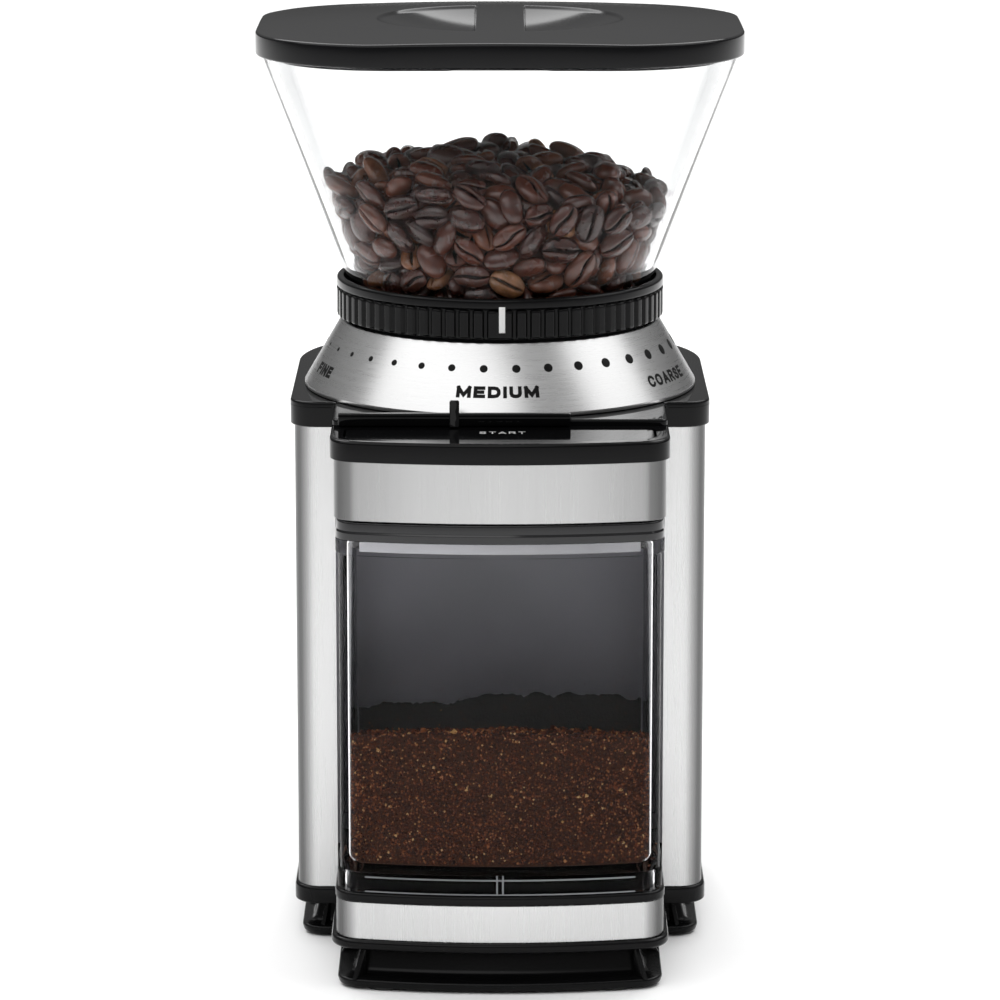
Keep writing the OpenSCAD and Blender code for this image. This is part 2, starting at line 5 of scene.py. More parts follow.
import bmesh
import bpy
import numpy as np
from mathutils import Matrix, Vector, noise
from mathutils.geometry import tessellate_polygon

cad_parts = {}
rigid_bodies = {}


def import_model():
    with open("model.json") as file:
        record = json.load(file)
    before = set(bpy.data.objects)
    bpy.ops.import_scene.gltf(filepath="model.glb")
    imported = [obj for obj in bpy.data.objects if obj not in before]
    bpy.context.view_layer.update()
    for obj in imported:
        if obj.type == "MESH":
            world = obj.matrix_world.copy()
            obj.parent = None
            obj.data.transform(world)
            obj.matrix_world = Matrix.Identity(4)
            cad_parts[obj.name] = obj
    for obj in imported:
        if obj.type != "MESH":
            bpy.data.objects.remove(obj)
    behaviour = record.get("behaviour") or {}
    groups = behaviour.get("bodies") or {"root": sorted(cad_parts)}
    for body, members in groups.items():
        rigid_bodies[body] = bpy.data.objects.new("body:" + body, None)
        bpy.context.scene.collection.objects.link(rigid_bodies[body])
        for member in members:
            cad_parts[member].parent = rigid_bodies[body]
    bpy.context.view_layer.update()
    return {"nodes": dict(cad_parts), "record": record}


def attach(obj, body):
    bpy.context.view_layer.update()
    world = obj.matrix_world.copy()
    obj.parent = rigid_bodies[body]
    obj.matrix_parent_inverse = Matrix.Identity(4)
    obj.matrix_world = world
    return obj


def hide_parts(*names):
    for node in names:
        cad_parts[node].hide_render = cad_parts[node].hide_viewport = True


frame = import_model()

NODES = frame["nodes"]
MM = 0.001
scene = bpy.context.scene
random.seed(7)

# ------------------------------------------------------------------ camera
cam_data = bpy.data.cameras.new("cam")
cam = bpy.data.objects.new("cam", cam_data)
scene.collection.objects.link(cam)
cam_data.sensor_width = 36.0
cam_data.lens = 4693.0 / 1000.0 * 36.0
cam_data.clip_start = 0.05
cam_data.clip_end = 30
cam.location = (0.0, -1.384, 0.421)
cam.rotation_euler = (math.radians(90 - 12.0), 0, 0)
scene.camera = cam


# ------------------------------------------------------------------ geometry helpers
def arc(cx, cy, r, a0, a1, n):
    return [(cx + r * math.cos(math.radians(a0 + (a1 - a0) * i / n)),
             cy + r * math.sin(math.radians(a0 + (a1 - a0) * i / n))) for i in range(n + 1)]


HW, HF, HB, RB, RF = 60.6, 32.0, 86.0, 48.0, 7.0


def plan_d(o, hw=HW, yf=HF, yb=HB, rf=RF, rb=RB, nf=12, nb=40):
    """Housing plan, counter-clockwise from the front left corner."""
    r1, r2 = max(rf + o, 0.3), max(rb + o, 0.3)
    w, f, b = hw + o, yf + o, yb + o
    p = []
    p += arc(-w + r1, -f + r1, r1, 180, 270, nf)
    p += arc(w - r1, -f + r1, r1, 270, 360, nf)
    p += arc(w - r2, b - r2, r2, 0, 90, nb)
    p += arc(-w + r2, b - r2, r2, 90, 180, nb)
    return p


CW, CF, RBOW, RC = 47.5, 87.0, 194.0, 8.0
BOWY = RBOW - CF


def plan_c(o, yb=-33.0, dy=0.0, nb=48, nc=14, close=True, rback=0.0):
    """Front column plan with the bowed front, counter-clockwise from the back left."""
    r = max(RC + o, 0.4)
    R = RBOW + o
    cx = CW + o - r
    cy = BOWY - math.sqrt((R - r) ** 2 - cx * cx)
    ang = math.degrees(math.atan2(cy - BOWY, cx))       # direction of the right corner centre seen from the bow centre
    p = []
    if rback > 0:
        p += arc(-cx - r + rback, yb - rback, rback, 90, 180, 6)
    else:
        p.append((-cx - r, yb))
    p += [(x, y - dy) for x, y in arc(-cx, cy, r, 180, 180 - ang, nc)]
    p += [(x, y - dy) for x, y in arc(0, BOWY, R, -180 - ang, ang, nb)][1:-1]
    p += [(x, y - dy) for x, y in arc(cx, cy, r, ang, 0, nc)]
    if rback > 0:
        p += arc(cx + r - rback, yb - rback, rback, 0, 90, 6)
    else:
        p.append((cx + r, yb))
    return p


def polar_rr(hw, hd, r, n=288):
    """Rounded rectangle sampled by direction, so it lofts onto a circle with no twist."""
    out = []
    for k in range(n):
        t = 2 * math.pi * k / n
        c, s = math.cos(t), math.sin(t)
        lo, hi = 0.0, hw + hd
        for _ in range(40):
            m = (lo + hi) / 2
            x, y = abs(m * c), abs(m * s)
            dx, dy = max(x - (hw - r), 0), max(y - (hd - r), 0)
            inside = x <= hw and y <= hd and (dx * dx + dy * dy <= r * r)
            lo, hi = (m, hi) if inside else (lo, m)
        out.append((lo * c, lo * s))
    return out


def circle(r, n=288):
    return [(r * math.cos(2 * math.pi * k / n), r * math.sin(2 * math.pi * k / n)) for k in range(n)]


def profile(pts, n=5):
    """Points (o, z, fillet) to a polyline with round corners."""
    out = []
    for i, p in enumerate(pts):
        r = p[2] if len(p) > 2 else 0
        if r <= 0 or i in (0, len(pts) - 1):
            out.append((p[0], p[1]))
            continue
        a = Vector((pts[i - 1][0] - p[0], pts[i - 1][1] - p[1]))
        b = Vector((pts[i + 1][0] - p[0], pts[i + 1][1] - p[1]))
        la, lb = a.length, b.length
        a.normalize(); b.normalize()
        half = math.acos(max(-1, min(1, a.dot(b)))) / 2
        t = min(r / math.tan(half), la * 0.49, lb * 0.49)
        rr = t * math.tan(half)
        mid = (a + b).normalized() * (rr / math.sin(half))
        c = Vector((p[0], p[1])) + mid
        s = Vector((p[0], p[1])) + a * t - c
        e = Vector((p[0], p[1])) + b * t - c
        a0, a1 = math.atan2(s.y, s.x), math.atan2(e.y, e.x)
        d = (a1 - a0 + math.pi) % (2 * math.pi) - math.pi
        for k in range(n + 1):
            ang = a0 + d * k / n
            out.append((c.x + rr * math.cos(ang), c.y + rr * math.sin(ang)))
    return out


class Geo:
    """Collects closed shells in millimetres."""

    def __init__(self):
        self.v, self.f = [], []

    def add(self, verts, faces):
        k = len(self.v)
        self.v += [tuple(p) for p in verts]
        self.f += [tuple(i + k for i in f) for f in faces]
        return self

    def rings(self, rings, loop=False, cap0=True, cap1=True, close=True):
        """Skins equal-length rings; loop joins the last ring to the first; close joins each ring's ends."""
        n = len(rings[0])
        v = [p for r in rings for p in r]
        f = []
        m = len(rings)
        for i in range(m if loop else m - 1):
            a, b = i * n, ((i + 1) % m) * n
            for k in range(n if close else n - 1):
                k2 = (k + 1) % n
                f.append((a + k, a + k2, b + k2, b + k))
        if not loop:
            if cap0:
                f.append(tuple(range(n - 1, -1, -1)))
            if cap1:
                f.append(tuple((m - 1) * n + k for k in range(n)))
        return self.add(v, f)

    def sweep(self, plan, prof, loop=False, cap0=True, cap1=True, close=True):
        return self.rings([[(x, y, z) for x, y in plan(o)] for o, z in prof], loop, cap0, cap1, close)

    def lathe(self, prof, cx=0, cy=0, n=192, loop=True):
        return self.rings([[(cx + r * math.cos(2 * math.pi * k / n), cy + r * math.sin(2 * math.pi * k / n), z)
                            for k in range(n)] for r, z in prof], loop=loop)

    def box(self, x0, x1, y0, y1, z0, z1, b=0.4, seg=3):
        """A box with rounded edges."""
        bm = bmesh.new()
        bmesh.ops.create_cube(bm, size=1)
        for vv in bm.verts:
            vv.co = Vector(((x0 + x1) / 2 + vv.co.x * (x1 - x0), (y0 + y1) / 2 + vv.co.y * (y1 - y0),
                            (z0 + z1) / 2 + vv.co.z * (z1 - z0)))
        if b > 0:
            bmesh.ops.bevel(bm, geom=bm.edges[:], offset=b, segments=seg, profile=0.5, affect="EDGES", clamp_overlap=True)
        bm.verts.index_update()
        self.add([vv.co[:] for vv in bm.verts], [[vv.index for vv in ff.verts] for ff in bm.faces])
        bm.free()
        return self

    def bm(self, bm):
        bm.verts.index_update()
        return self.add([vv.co[:] for vv in bm.verts], [[vv.index for vv in ff.verts] for ff in bm.faces])

    def make(self, name, mat, body, slot=None, replaces=(), angle=32, normals=True):
        me = bpy.data.meshes.new(name)
        me.from_pydata([(x * MM, y * MM, z * MM) for x, y, z in self.v], [], self.f)
        me.update()
        if normals:
            bm = bmesh.new()
            bm.from_mesh(me)
            bmesh.ops.remove_doubles(bm, verts=bm.verts, dist=1e-7)
            bmesh.ops.recalc_face_normals(bm, faces=bm.faces)
            bm.to_mesh(me)
            bm.free()
        me.polygons.foreach_set("use_smooth", [True] * len(me.polygons))
        me.set_sharp_from_angle(angle=math.radians(angle))
        me.materials.append(mat)
        o = bpy.data.objects.new(name, me)
        scene.collection.objects.link(o)
        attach(o, body)
        if replaces:
            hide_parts(*replaces)
        return o


# ------------------------------------------------------------------ materials
class Mat:
    def __init__(self, name):
        self.m = bpy.data.materials.new(name)
        self.m.use_nodes = True
        self.t = self.m.node_tree
        self.b = self.t.nodes["Principled BSDF"]
        self.out = self.t.nodes["Material Output"]

    def n(self, kind, **kw):
        nd = self.t.nodes.new(kind)
        for k, v in kw.items():
            if k in nd.inputs:
                nd.inputs[k].default_value = v
            else:
                setattr(nd, k, v)
        return nd

    def link(self, a, b):
        self.t.links.new(a, b)

    def set(self, **kw):
        for k, v in kw.items():
            self.b.inputs[k.replace("_", " ")].default_value = v
        return self

    def coords(self, scale=(1, 1, 1)):
        tc = self.n("ShaderNodeTexCoord")
        mp = self.n("ShaderNodeMapping")
        mp.inputs["Scale"].default_value = scale
        self.link(tc.outputs["Object"], mp.inputs["Vector"])
        return mp.outputs["Vector"]

    def noise(self, vec, scale, detail=4, rough=0.5, dist=0.0):
        nz = self.n("ShaderNodeTexNoise")
        nz.inputs["Scale"].default_value = scale
        nz.inputs["Detail"].default_value = detail
        nz.inputs["Roughness"].default_value = rough
        nz.inputs["Distortion"].default_value = dist
        self.link(vec, nz.inputs["Vector"])
        return nz.outputs["Fac"]

    def ramp(self, fac, stops, interp="LINEAR"):
        r = self.n("ShaderNodeValToRGB")
        r.color_ramp.interpolation = interp
        e = r.color_ramp.elements
        while len(e) < len(stops):
            e.new(0.5)
        for el, (p, c) in zip(e, stops):
            el.position = p
            el.color = (c, c, c, 1) if isinstance(c, (int, float)) else (*c, 1)
        self.link(fac, r.inputs["Fac"])
        return r.outputs["Color"]

    def bump(self, h, strength, dist, normal=None):
        b = self.n("ShaderNodeBump")
        b.inputs["Strength"].default_value = strength
        b.inputs["Distance"].default_value = dist
        self.link(h, b.inputs["Height"])
        if normal is not None:
            self.link(normal, b.inputs["Normal"])
        return b.outputs["Normal"]


def plastic(name, base, r0, r1, grain=900, bump=0.05, bdist=0.00005, vary=0.25, coat=0.0, spec=0.5):
    a = Mat(name)
    v = a.coords()
    big = a.noise(v, 14, 3)
    fine = a.noise(v, grain, 3, 0.6)
    lo = tuple(c * (1 - vary) for c in base)
    hi = tuple(c * (1 + vary) for c in base)
    a.link(a.ramp(big, [(0.3, lo), (0.7, hi)]), a.b.inputs["Base Color"])
    a.link(a.ramp(big, [(0.25, r0), (0.75, r1)]), a.b.inputs["Roughness"])
    a.link(a.bump(fine, bump, bdist), a.b.inputs["Normal"])
    a.set(Coat_Weight=coat, Coat_Roughness=0.04, Specular_IOR_Level=spec)
    return a.m


def brushed(name, base=0.62, mode="vertical", r0=0.2, r1=0.34, bump=0.12, aniso=0.0, amp=0.12, corner=None):
    a = Mat(name)
    tc = a.n("ShaderNodeTexCoord")
    if mode == "vertical":
        v = a.coords((1, 1, 0.012))
        streak = a.noise(v, 2600, 3, 0.7)
        broad = a.noise(v, 420, 3, 0.6)
    elif mode == "round":
        sep = a.n("ShaderNodeSeparateXYZ")
        a.link(tc.outputs["Object"], sep.inputs["Vector"])
        at = a.n("ShaderNodeMath", operation="ARCTAN2")
        a.link(sep.outputs["Y"], at.inputs[0]); a.link(sep.outputs["X"], at.inputs[1])
        ml = a.n("ShaderNodeMath", operation="MULTIPLY")
        a.link(at.outputs[0], ml.inputs[0]); ml.inputs[1].default_value = 0.0012
        cb = a.n("ShaderNodeCombineXYZ")
        a.link(ml.outputs[0], cb.inputs["X"]); a.link(sep.outputs["Z"], cb.inputs["Z"])
        streak = a.noise(cb.outputs["Vector"], 5200, 3, 0.7)
        broad = a.noise(cb.outputs["Vector"], 900, 3, 0.6)
    else:
        v = a.coords((0.012, 1, 1))
        streak = a.noise(v, 2600, 3, 0.7)
        broad = a.noise(v, 420, 3, 0.6)
    mix = a.n("ShaderNodeMath", operation="ADD")
    h1 = a.n("ShaderNodeMath", operation="MULTIPLY"); h1.inputs[1].default_value = 0.65
    h2 = a.n("ShaderNodeMath", operation="MULTIPLY"); h2.inputs[1].default_value = 0.35
    a.link(streak, h1.inputs[0]); a.link(broad, h2.inputs[0])
    a.link(h1.outputs[0], mix.inputs[0]); a.link(h2.outputs[0], mix.inputs[1])
    f = mix.outputs[0]
    col = a.ramp(f, [(0.3, base * (1 - amp)), (0.7, min(1, base * (1 + amp)))])
    if corner:
        # painted shade: the base colour is darkened by the object-space normal's x where the sheet is rolled round a
        # corner, standing in for darker reflections there
        sn = a.n("ShaderNodeSeparateXYZ")
        a.link(tc.outputs["Normal"], sn.inputs["Vector"])
        ab = a.n("ShaderNodeMath", operation="ABSOLUTE")
        a.link(sn.outputs["X"], ab.inputs[0])
        painted_corner_shade = a.ramp(ab.outputs[0], corner)
        mx = a.n("ShaderNodeMix", data_type="RGBA", blend_type="MULTIPLY")
        mx.inputs[0].default_value = 1.0
        a.link(col, mx.inputs[6]); a.link(painted_corner_shade, mx.inputs[7])
        col = mx.outputs[2]
    a.link(col, a.b.inputs["Base Color"])
    a.link(a.ramp(f, [(0.3, r0), (0.7, r1)]), a.b.inputs["Roughness"])
    a.link(a.bump(f, bump, 0.00004), a.b.inputs["Normal"])
    a.set(Metallic=1.0, Anisotropic=aniso)
    return a.m


def metal(name, base, r0, r1, bump=0.08, scale=300):
    a = Mat(name)
    v = a.coords()
    f = a.noise(v, scale, 5, 0.6)
    lo = tuple(c * 0.82 for c in base)
    a.link(a.ramp(f, [(0.3, lo), (0.7, base)]), a.b.inputs["Base Color"])
    a.link(a.ramp(f, [(0.3, r0), (0.7, r1)]), a.b.inputs["Roughness"])
    a.link(a.bump(f, bump, 0.00005), a.b.inputs["Normal"])
    a.set(Metallic=1.0)
    return a.m


def glassy(name, tint, edge, rough=0.015, ior=1.49, level=0.5):
    """Clear moulding: bright face on, greyer where it is seen at a glancing angle."""
    a = Mat(name)
    v = a.coords()
    big = a.noise(v, 30, 3)
    lw = a.n("ShaderNodeLayerWeight")
    lw.inputs["Blend"].default_value = 0.5
    a.link(a.ramp(lw.outputs["Facing"], [(0.0, tint), (0.32, tint), (0.47, tuple(t * 0.9 + e * 0.1 for t, e in zip(tint, edge))), (0.6, tuple(t * 0.78 + e * 0.22 for t, e in zip(tint, edge))), (0.76, tuple(t * 0.57 + e * 0.43 for t, e in zip(tint, edge))), (0.9, tuple(t * 0.28 + e * 0.72 for t, e in zip(tint, edge))), (1.0, edge)]), a.b.inputs["Base Color"])
    a.link(a.ramp(big, [(0.3, rough), (0.7, rough * 1.6)]), a.b.inputs["Roughness"])
    a.link(a.bump(a.noise(v, 60, 2), 0.015, 0.0001), a.b.inputs["Normal"])
    a.set(IOR=ior, Transmission_Weight=1.0, Specular_IOR_Level=level)
    return a.m


M = {}
M["gloss_black"] = plastic("gloss_black", (0.003, 0.003, 0.0033), 0.035, 0.07, grain=1500, bump=0.008, spec=0.14)
M["lid_black"] = plastic("lid_black", (0.0045, 0.0045, 0.005), 0.1, 0.16, grain=1800, bump=0.012, spec=0.2)
M["black_plastic"] = plastic("black_plastic", (0.006, 0.006, 0.0065), 0.34, 0.46, grain=2600, bump=0.06, spec=0.2)
M["trim_black"] = plastic("trim_black", (0.004, 0.004, 0.0043), 0.11, 0.18, grain=2200, bump=0.03, spec=0.12)
M["rubber"] = plastic("rubber", (0.02, 0.02, 0.02), 0.6, 0.75, grain=1800, bump=0.4)
M["grey_plastic"] = plastic("grey_plastic", (0.07, 0.07, 0.075), 0.35, 0.5, grain=2200, bump=0.25)
M["brown_plastic"] = plastic("brown_plastic", (0.12, 0.06, 0.03), 0.4, 0.55, grain=1500, bump=0.3)
M["carbon"] = plastic("carbon", (0.03, 0.03, 0.03), 0.5, 0.7, grain=3000, bump=0.5)
M["board_green"] = plastic("board_green", (0.02, 0.12, 0.05), 0.25, 0.4, grain=700, bump=0.3)
M["component_plastic"] = plastic("component_plastic", (0.03, 0.03, 0.035), 0.25, 0.4)
M["red_plastic"] = plastic("red_plastic", (0.42, 0.025, 0.015), 0.28, 0.4, grain=1500, bump=0.1)
M["white_mark"] = plastic("white_mark", (0.85, 0.85, 0.84), 0.25, 0.35, vary=0.03)
M["print_black"] = plastic("print_black", (0.004, 0.004, 0.004), 0.4, 0.5, grain=3000, bump=0.05, spec=0.12)
M["print_white"] = plastic("print_white", (0.7, 0.7, 0.7), 0.35, 0.5, vary=0.05)
M["nylon"] = plastic("nylon", (0.62, 0.6, 0.54), 0.35, 0.5, grain=1500, bump=0.15, vary=0.08)
# painted shade: the corner ramps darken the steel's base colour round the sheet's corners by the normal's x
M["brushed_steel"] = brushed("brushed_steel", 0.6, "vertical", 0.2, 0.32, bump=0.08, amp=0.07, corner=[(0.0, 1.05), (0.25, 0.9), (0.48, 0.52), (0.75, 0.2), (0.985, 0.09), (1.0, 0.9)])
M["band_steel"] = brushed("band_steel", 0.44, "vertical", 0.2, 0.3, bump=0.08, amp=0.09, corner=[(0.0, 1.12), (0.12, 1.04), (0.22, 0.72), (0.4, 0.38), (0.8, 0.2), (0.97, 0.25), (1.0, 0.9)])
M["foot_black"] = plastic("foot_black", (0.003, 0.003, 0.0032), 0.2, 0.3, grain=1500, bump=0.03, spec=0.14)
M["collar_steel"] = brushed("collar_steel", 0.56, "round", 0.24, 0.34, bump=0.07, amp=0.08)
M["burr_steel"] = metal("burr_steel", (0.42, 0.42, 0.44), 0.25, 0.42, 0.2, 700)
M["bright_steel"] = metal("bright_steel", (0.62, 0.62, 0.64), 0.15, 0.28)
M["tin_plate"] = metal("tin_plate", (0.55, 0.55, 0.56), 0.25, 0.4)
M["bronze"] = metal("bronze", (0.5, 0.36, 0.16), 0.35, 0.5)
M["copper"] = metal("copper", (0.66, 0.28, 0.11), 0.25, 0.4, 0.3, 900)
M["iron"] = metal("iron", (0.3, 0.3, 0.32), 0.4, 0.6, 0.3, 600)
M["cast_alloy"] = metal("cast_alloy", (0.5, 0.5, 0.52), 0.35, 0.55, 0.4, 500)
M["hopper_clear"] = glassy("hopper_clear", (0.995, 0.998, 0.998), (0.32, 0.33, 0.34), 0.006, ior=1.13)
M["smoked"] = glassy("smoked", (0.95, 0.95, 0.96), (0.22, 0.225, 0.24), 0.01, ior=1.1, level=0.12)
M["liner_grey"] = plastic("liner_grey", (0.29, 0.287, 0.31), 0.4, 0.55, grain=1500, bump=0.1)
M["smoked_lid"] = plastic("smoked_lid", (0.006, 0.006, 0.007), 0.05, 0.1, grain=1500, bump=0.02, spec=0.5)

SLOT_MAT = {"black_plastic": "black_plastic", "gloss_black": "gloss_black", "rubber": "rubber", "bright_steel": "bright_steel",
            "brushed_steel": "brushed_steel", "collar_steel": "collar_steel", "grey_plastic": "grey_plastic", "bronze": "bronze",
            "iron": "iron", "copper": "copper", "cast_alloy": "cast_alloy", "brown_plastic": "brown_plastic", "carbon": "carbon",
            "board_green": "board_green", "component_plastic": "component_plastic", "tin_plate": "tin_plate", "burr_steel": "burr_steel",
            "red_plastic": "red_plastic", "clear_plastic": "hopper_clear", "white_mark": "white_mark", "nylon": "nylon",
            "smoked_plastic": "smoked", "smoked_black": "smoked_lid"}
slot_of = {s["node"]: s["material_slot"] for s in frame["record"]["subparts"]}
for name, o in NODES.items():
    o.data.materials.clear()
    o.data.materials.append(M[SLOT_MAT[slot_of[name]]])
    for p in o.data.polygons:
        p.material_index = 0
NODES["bay_liner"].data.materials[0] = M["liner_grey"]

# ------------------------------------------------------------------ lid
LHW, LHD, LR = 71.3, 58.0, 40.0
NL = 480


def lid_ring(o, z):
    return [(x, y, z) for x, y in polar_rr(LHW + o, LHD + o, max(LR + o, 2), NL)]


def dome(x, y):
    """Height of the lid's crown over the flat shoulder."""
    q = (x / LHW) ** 2 + (y / LHD) ** 2
    return 273.0 - 1.9 * min(q, 1.2)


REC_R, REC_D = 36.3, 8.6
REC_S = (REC_R ** 2 + REC_D ** 2) / (2 * REC_D)


def sstep(t):
    t = max(0.0, min(1.0, t))
    return t * t * (3 - 2 * t)


def lid_height(x, y):
    r = math.hypot(x, y)
    base = dome(x, y)
    depth = 0.0
    if r < REC_R + 1.2:
        raw = REC_D - (REC_S - math.sqrt(max(REC_S ** 2 - min(r, REC_R) ** 2, 0)))
        edge = REC_R - r
        depth = max(raw + 0.6 * sstep((edge + 0.5) / 1.3), 0) if edge > -0.5 else 0.0
        depth *= sstep((edge + 0.5) / 0.9)
    bar = 1 - sstep((abs(x) - 6.9) / 0.9)
    return base - depth * (1 - bar)


def build_lid():
    g = Geo()
    # inner patch on a grid that is dense at the bar's flanks
    half = 44.0
    xs = set()
    for s in (-1, 1):
        for i in range(25):
            xs.add(round(s * (5.9 + 3.2 * i / 24), 4))
        for i in range(1, 81):
            xs.add(round(s * (9.1 + (half - 9.1) * i / 80), 4))
        for i in range(0, 7):
            xs.add(round(s * 5.9 * i / 6, 4))
    xs = sorted(xs)
    ys = [-half + 2 * half * i / 220 for i in range(221)]
    nx, ny = len(xs), len(ys)
    v = [(x, y, lid_height(x, y)) for y in ys for x in xs]
    f = [(j * nx + i, j * nx + i + 1, (j + 1) * nx + i + 1, (j + 1) * nx + i) for j in range(ny - 1) for i in range(nx - 1)]
    g.add(v, f)
    # ring of the patch's border, counter-clockwise from the +X axis
    border = []
    j0 = ys.index(min(ys, key=abs))
    border += [(nx - 1, j) for j in range(j0, ny)]
    border += [(i, ny - 1) for i in range(nx - 2, -1, -1)]
    border += [(0, j) for j in range(ny - 2, -1, -1)]
    border += [(i, 0) for i in range(1, nx)]
    border += [(nx - 1, j) for j in range(1, j0)]
    pts = [(xs[i], ys[j]) for i, j in border]
    nb = len(pts)

    def rim(o):
        out = []
        for x, y in pts:
            t = math.atan2(y, x)
            c, s = math.cos(t), math.sin(t)
            lo, hi = 0.0, 200.0
            hw, hd, r = LHW + o, LHD + o, LR + o
            for _ in range(36):
                m = (lo + hi) / 2
                X, Y = abs(m * c), abs(m * s)
                dx, dy = max(X - (hw - r), 0), max(Y - (hd - r), 0)
                lo, hi = (m, hi) if (X <= hw and Y <= hd and dx * dx + dy * dy <= r * r) else (lo, m)
            out.append((lo * c, lo * s))
        return out

    prev = [j * nx + i for i, j in border]
    edge_in = rim(-2.0)
    steps = 10
    rings = []
    for k in range(1, steps + 1):
        t = k / steps
        rings.append([(px + (ex - px) * t, py + (ey - py) * t) for (px, py), (ex, ey) in zip(pts, edge_in)])
    zs = [[dome(x, y) for x, y in r] for r in rings]
    allr = [[(x, y, z) for (x, y), z in zip(r, zz)] for r, zz in zip(rings, zs)]
    # rounded shoulder, side and under edge
    z_edge = sum(zs[-1]) / nb
    sh = []
    for o, z in profile([(-2.0, 0, 0), (0.0, 0.0, 1.9), (0.0, -7.4, 0.7), (-1.7, -7.4, 0.4), (-1.7, -3.6, 0)], 7)[1:]:
        sh.append((o, z))
    for o, z in sh:
        r = rim(o)
        w = sstep(-z / 3.0)
        allr.append([(x, y, (zz + z) * (1 - w) + (271.3 + z) * w) for (x, y), zz in zip(r, zs[-1])])
    allr.append([(x, y, 267.9) for x, y in rim(-6.0)])
    allr.append([(x, y, 262.7) for x, y in rim(-6.4)])
    allr.append([(x, y, 262.7) for x, y in rim(-8.0)])
    allr.append([(x, y, 267.9) for x, y in rim(-8.2)])
    base = len(g.v)
    g.v += [p for r in allr for p in r]
    last = prev
    for k in range(len(allr)):
        cur = [base + k * nb + i for i in range(nb)]
        for i in range(nb):
            i2 = (i + 1) % nb
            g.f.append((last[i], last[i2], cur[i2], cur[i]))
        last = cur
    # underside of the crown and bowl follows the top at a constant gap
    under = len(g.v)
    uv = []
    for y in ys:
        for x in xs:
            r = math.hypot(x, y)
            raw = REC_D - (REC_S - math.sqrt(max(REC_S ** 2 - min(r, REC_R + 4) ** 2, 0)))
            uv.append((x, y, min(267.9, dome(x, y) - 2.4 - max(raw + 1.0, 0)) if r < REC_R + 4 else 267.9))
    g.v += uv
    for j in range(ny - 1):
        for i in range(nx - 1):
            a = under + j * nx + i
            g.f.append((a, a + nx, a + nx + 1, a + 1))
    und = [under + j * nx + i for i, j in border]
    for i in range(nb):
        i2 = (i + 1) % nb
        g.f.append((last[i], last[i2], und[i2], und[i]))
    return g.make("lid", M["lid_black"], "hopper_lid", "gloss_black", ["hopper_lid"], angle=50)


build_lid()

# ------------------------------------------------------------------ hopper
NH = 288
CIRC = [(math.cos(2 * math.pi * k / NH), math.sin(2 * math.pi * k / NH)) for k in range(NH)]


def hop_ring(z, inset):
    """Hopper outline at a height: straight-sided from a circle to a rounded rectangle."""
    t = max(0.0, min(1.0, (z - 190.0) / (265.0 - 190.0)))
    r0 = 43.6 - inset
    top = TOP_OUT if inset == 0 else TOP_IN
    return [((1 - t) * r0 * c + t * x, (1 - t) * r0 * s + t * y, z) for (c, s), (x, y) in zip(CIRC, top)]


TOP_OUT = polar_rr(70, 55.5, 38, NH)
TOP_IN = polar_rr(67.4, 52.9, 35.4, NH)


def build_hopper():
    g = Geo()
    rings = []
    # floor underside, outside wall, rounded rim, inside wall, inner floor, feed hole
    for r, z in [(22.6, 184.2), (43.0, 184.2), (43.6, 184.8), (43.6, 187)]:
        rings.append([(r * c, r * s, z) for c, s in CIRC])
    for i in range(13):
        rings.append(hop_ring(190 + 74.4 * i / 12, 0))
    out_top, in_top = hop_ring(264.4, 0), hop_ring(264.4, 1)
    for k in range(1, 6):
        a = math.pi * k / 6
        w = (1 - math.cos(a)) / 2
        rings.append([(ox + (ix - ox) * w, oy + (iy - oy) * w, 264.4 + 0.6 * math.sin(a))
                      for (ox, oy, _), (ix, iy, _) in zip(out_top, in_top)])
    ri = 43.6 - 2.6
    t_in = lambda z: [((1 - (z - 190) / 75) * ri * c + (z - 190) / 75 * x, (1 - (z - 190) / 75) * ri * s + (z - 190) / 75 * y, z)
                      for (c, s), (x, y) in zip(CIRC, TOP_IN)]
    for i in range(13):
        rings.append(t_in(264.4 - 74.4 * i / 12))
    for r, z in [(41, 188.2), (40.6, 187.1), (39.6, 186.7), (23, 186.6), (22.2, 186.2), (22.0, 185.4)]:
        rings.append([(r * c, r * s, z) for c, s in CIRC])
    g.rings(rings, loop=True)
    return g.make("bean_hopper", M["hopper_clear"], "hopper", "clear_plastic", ["hopper"], angle=40)


build_hopper()

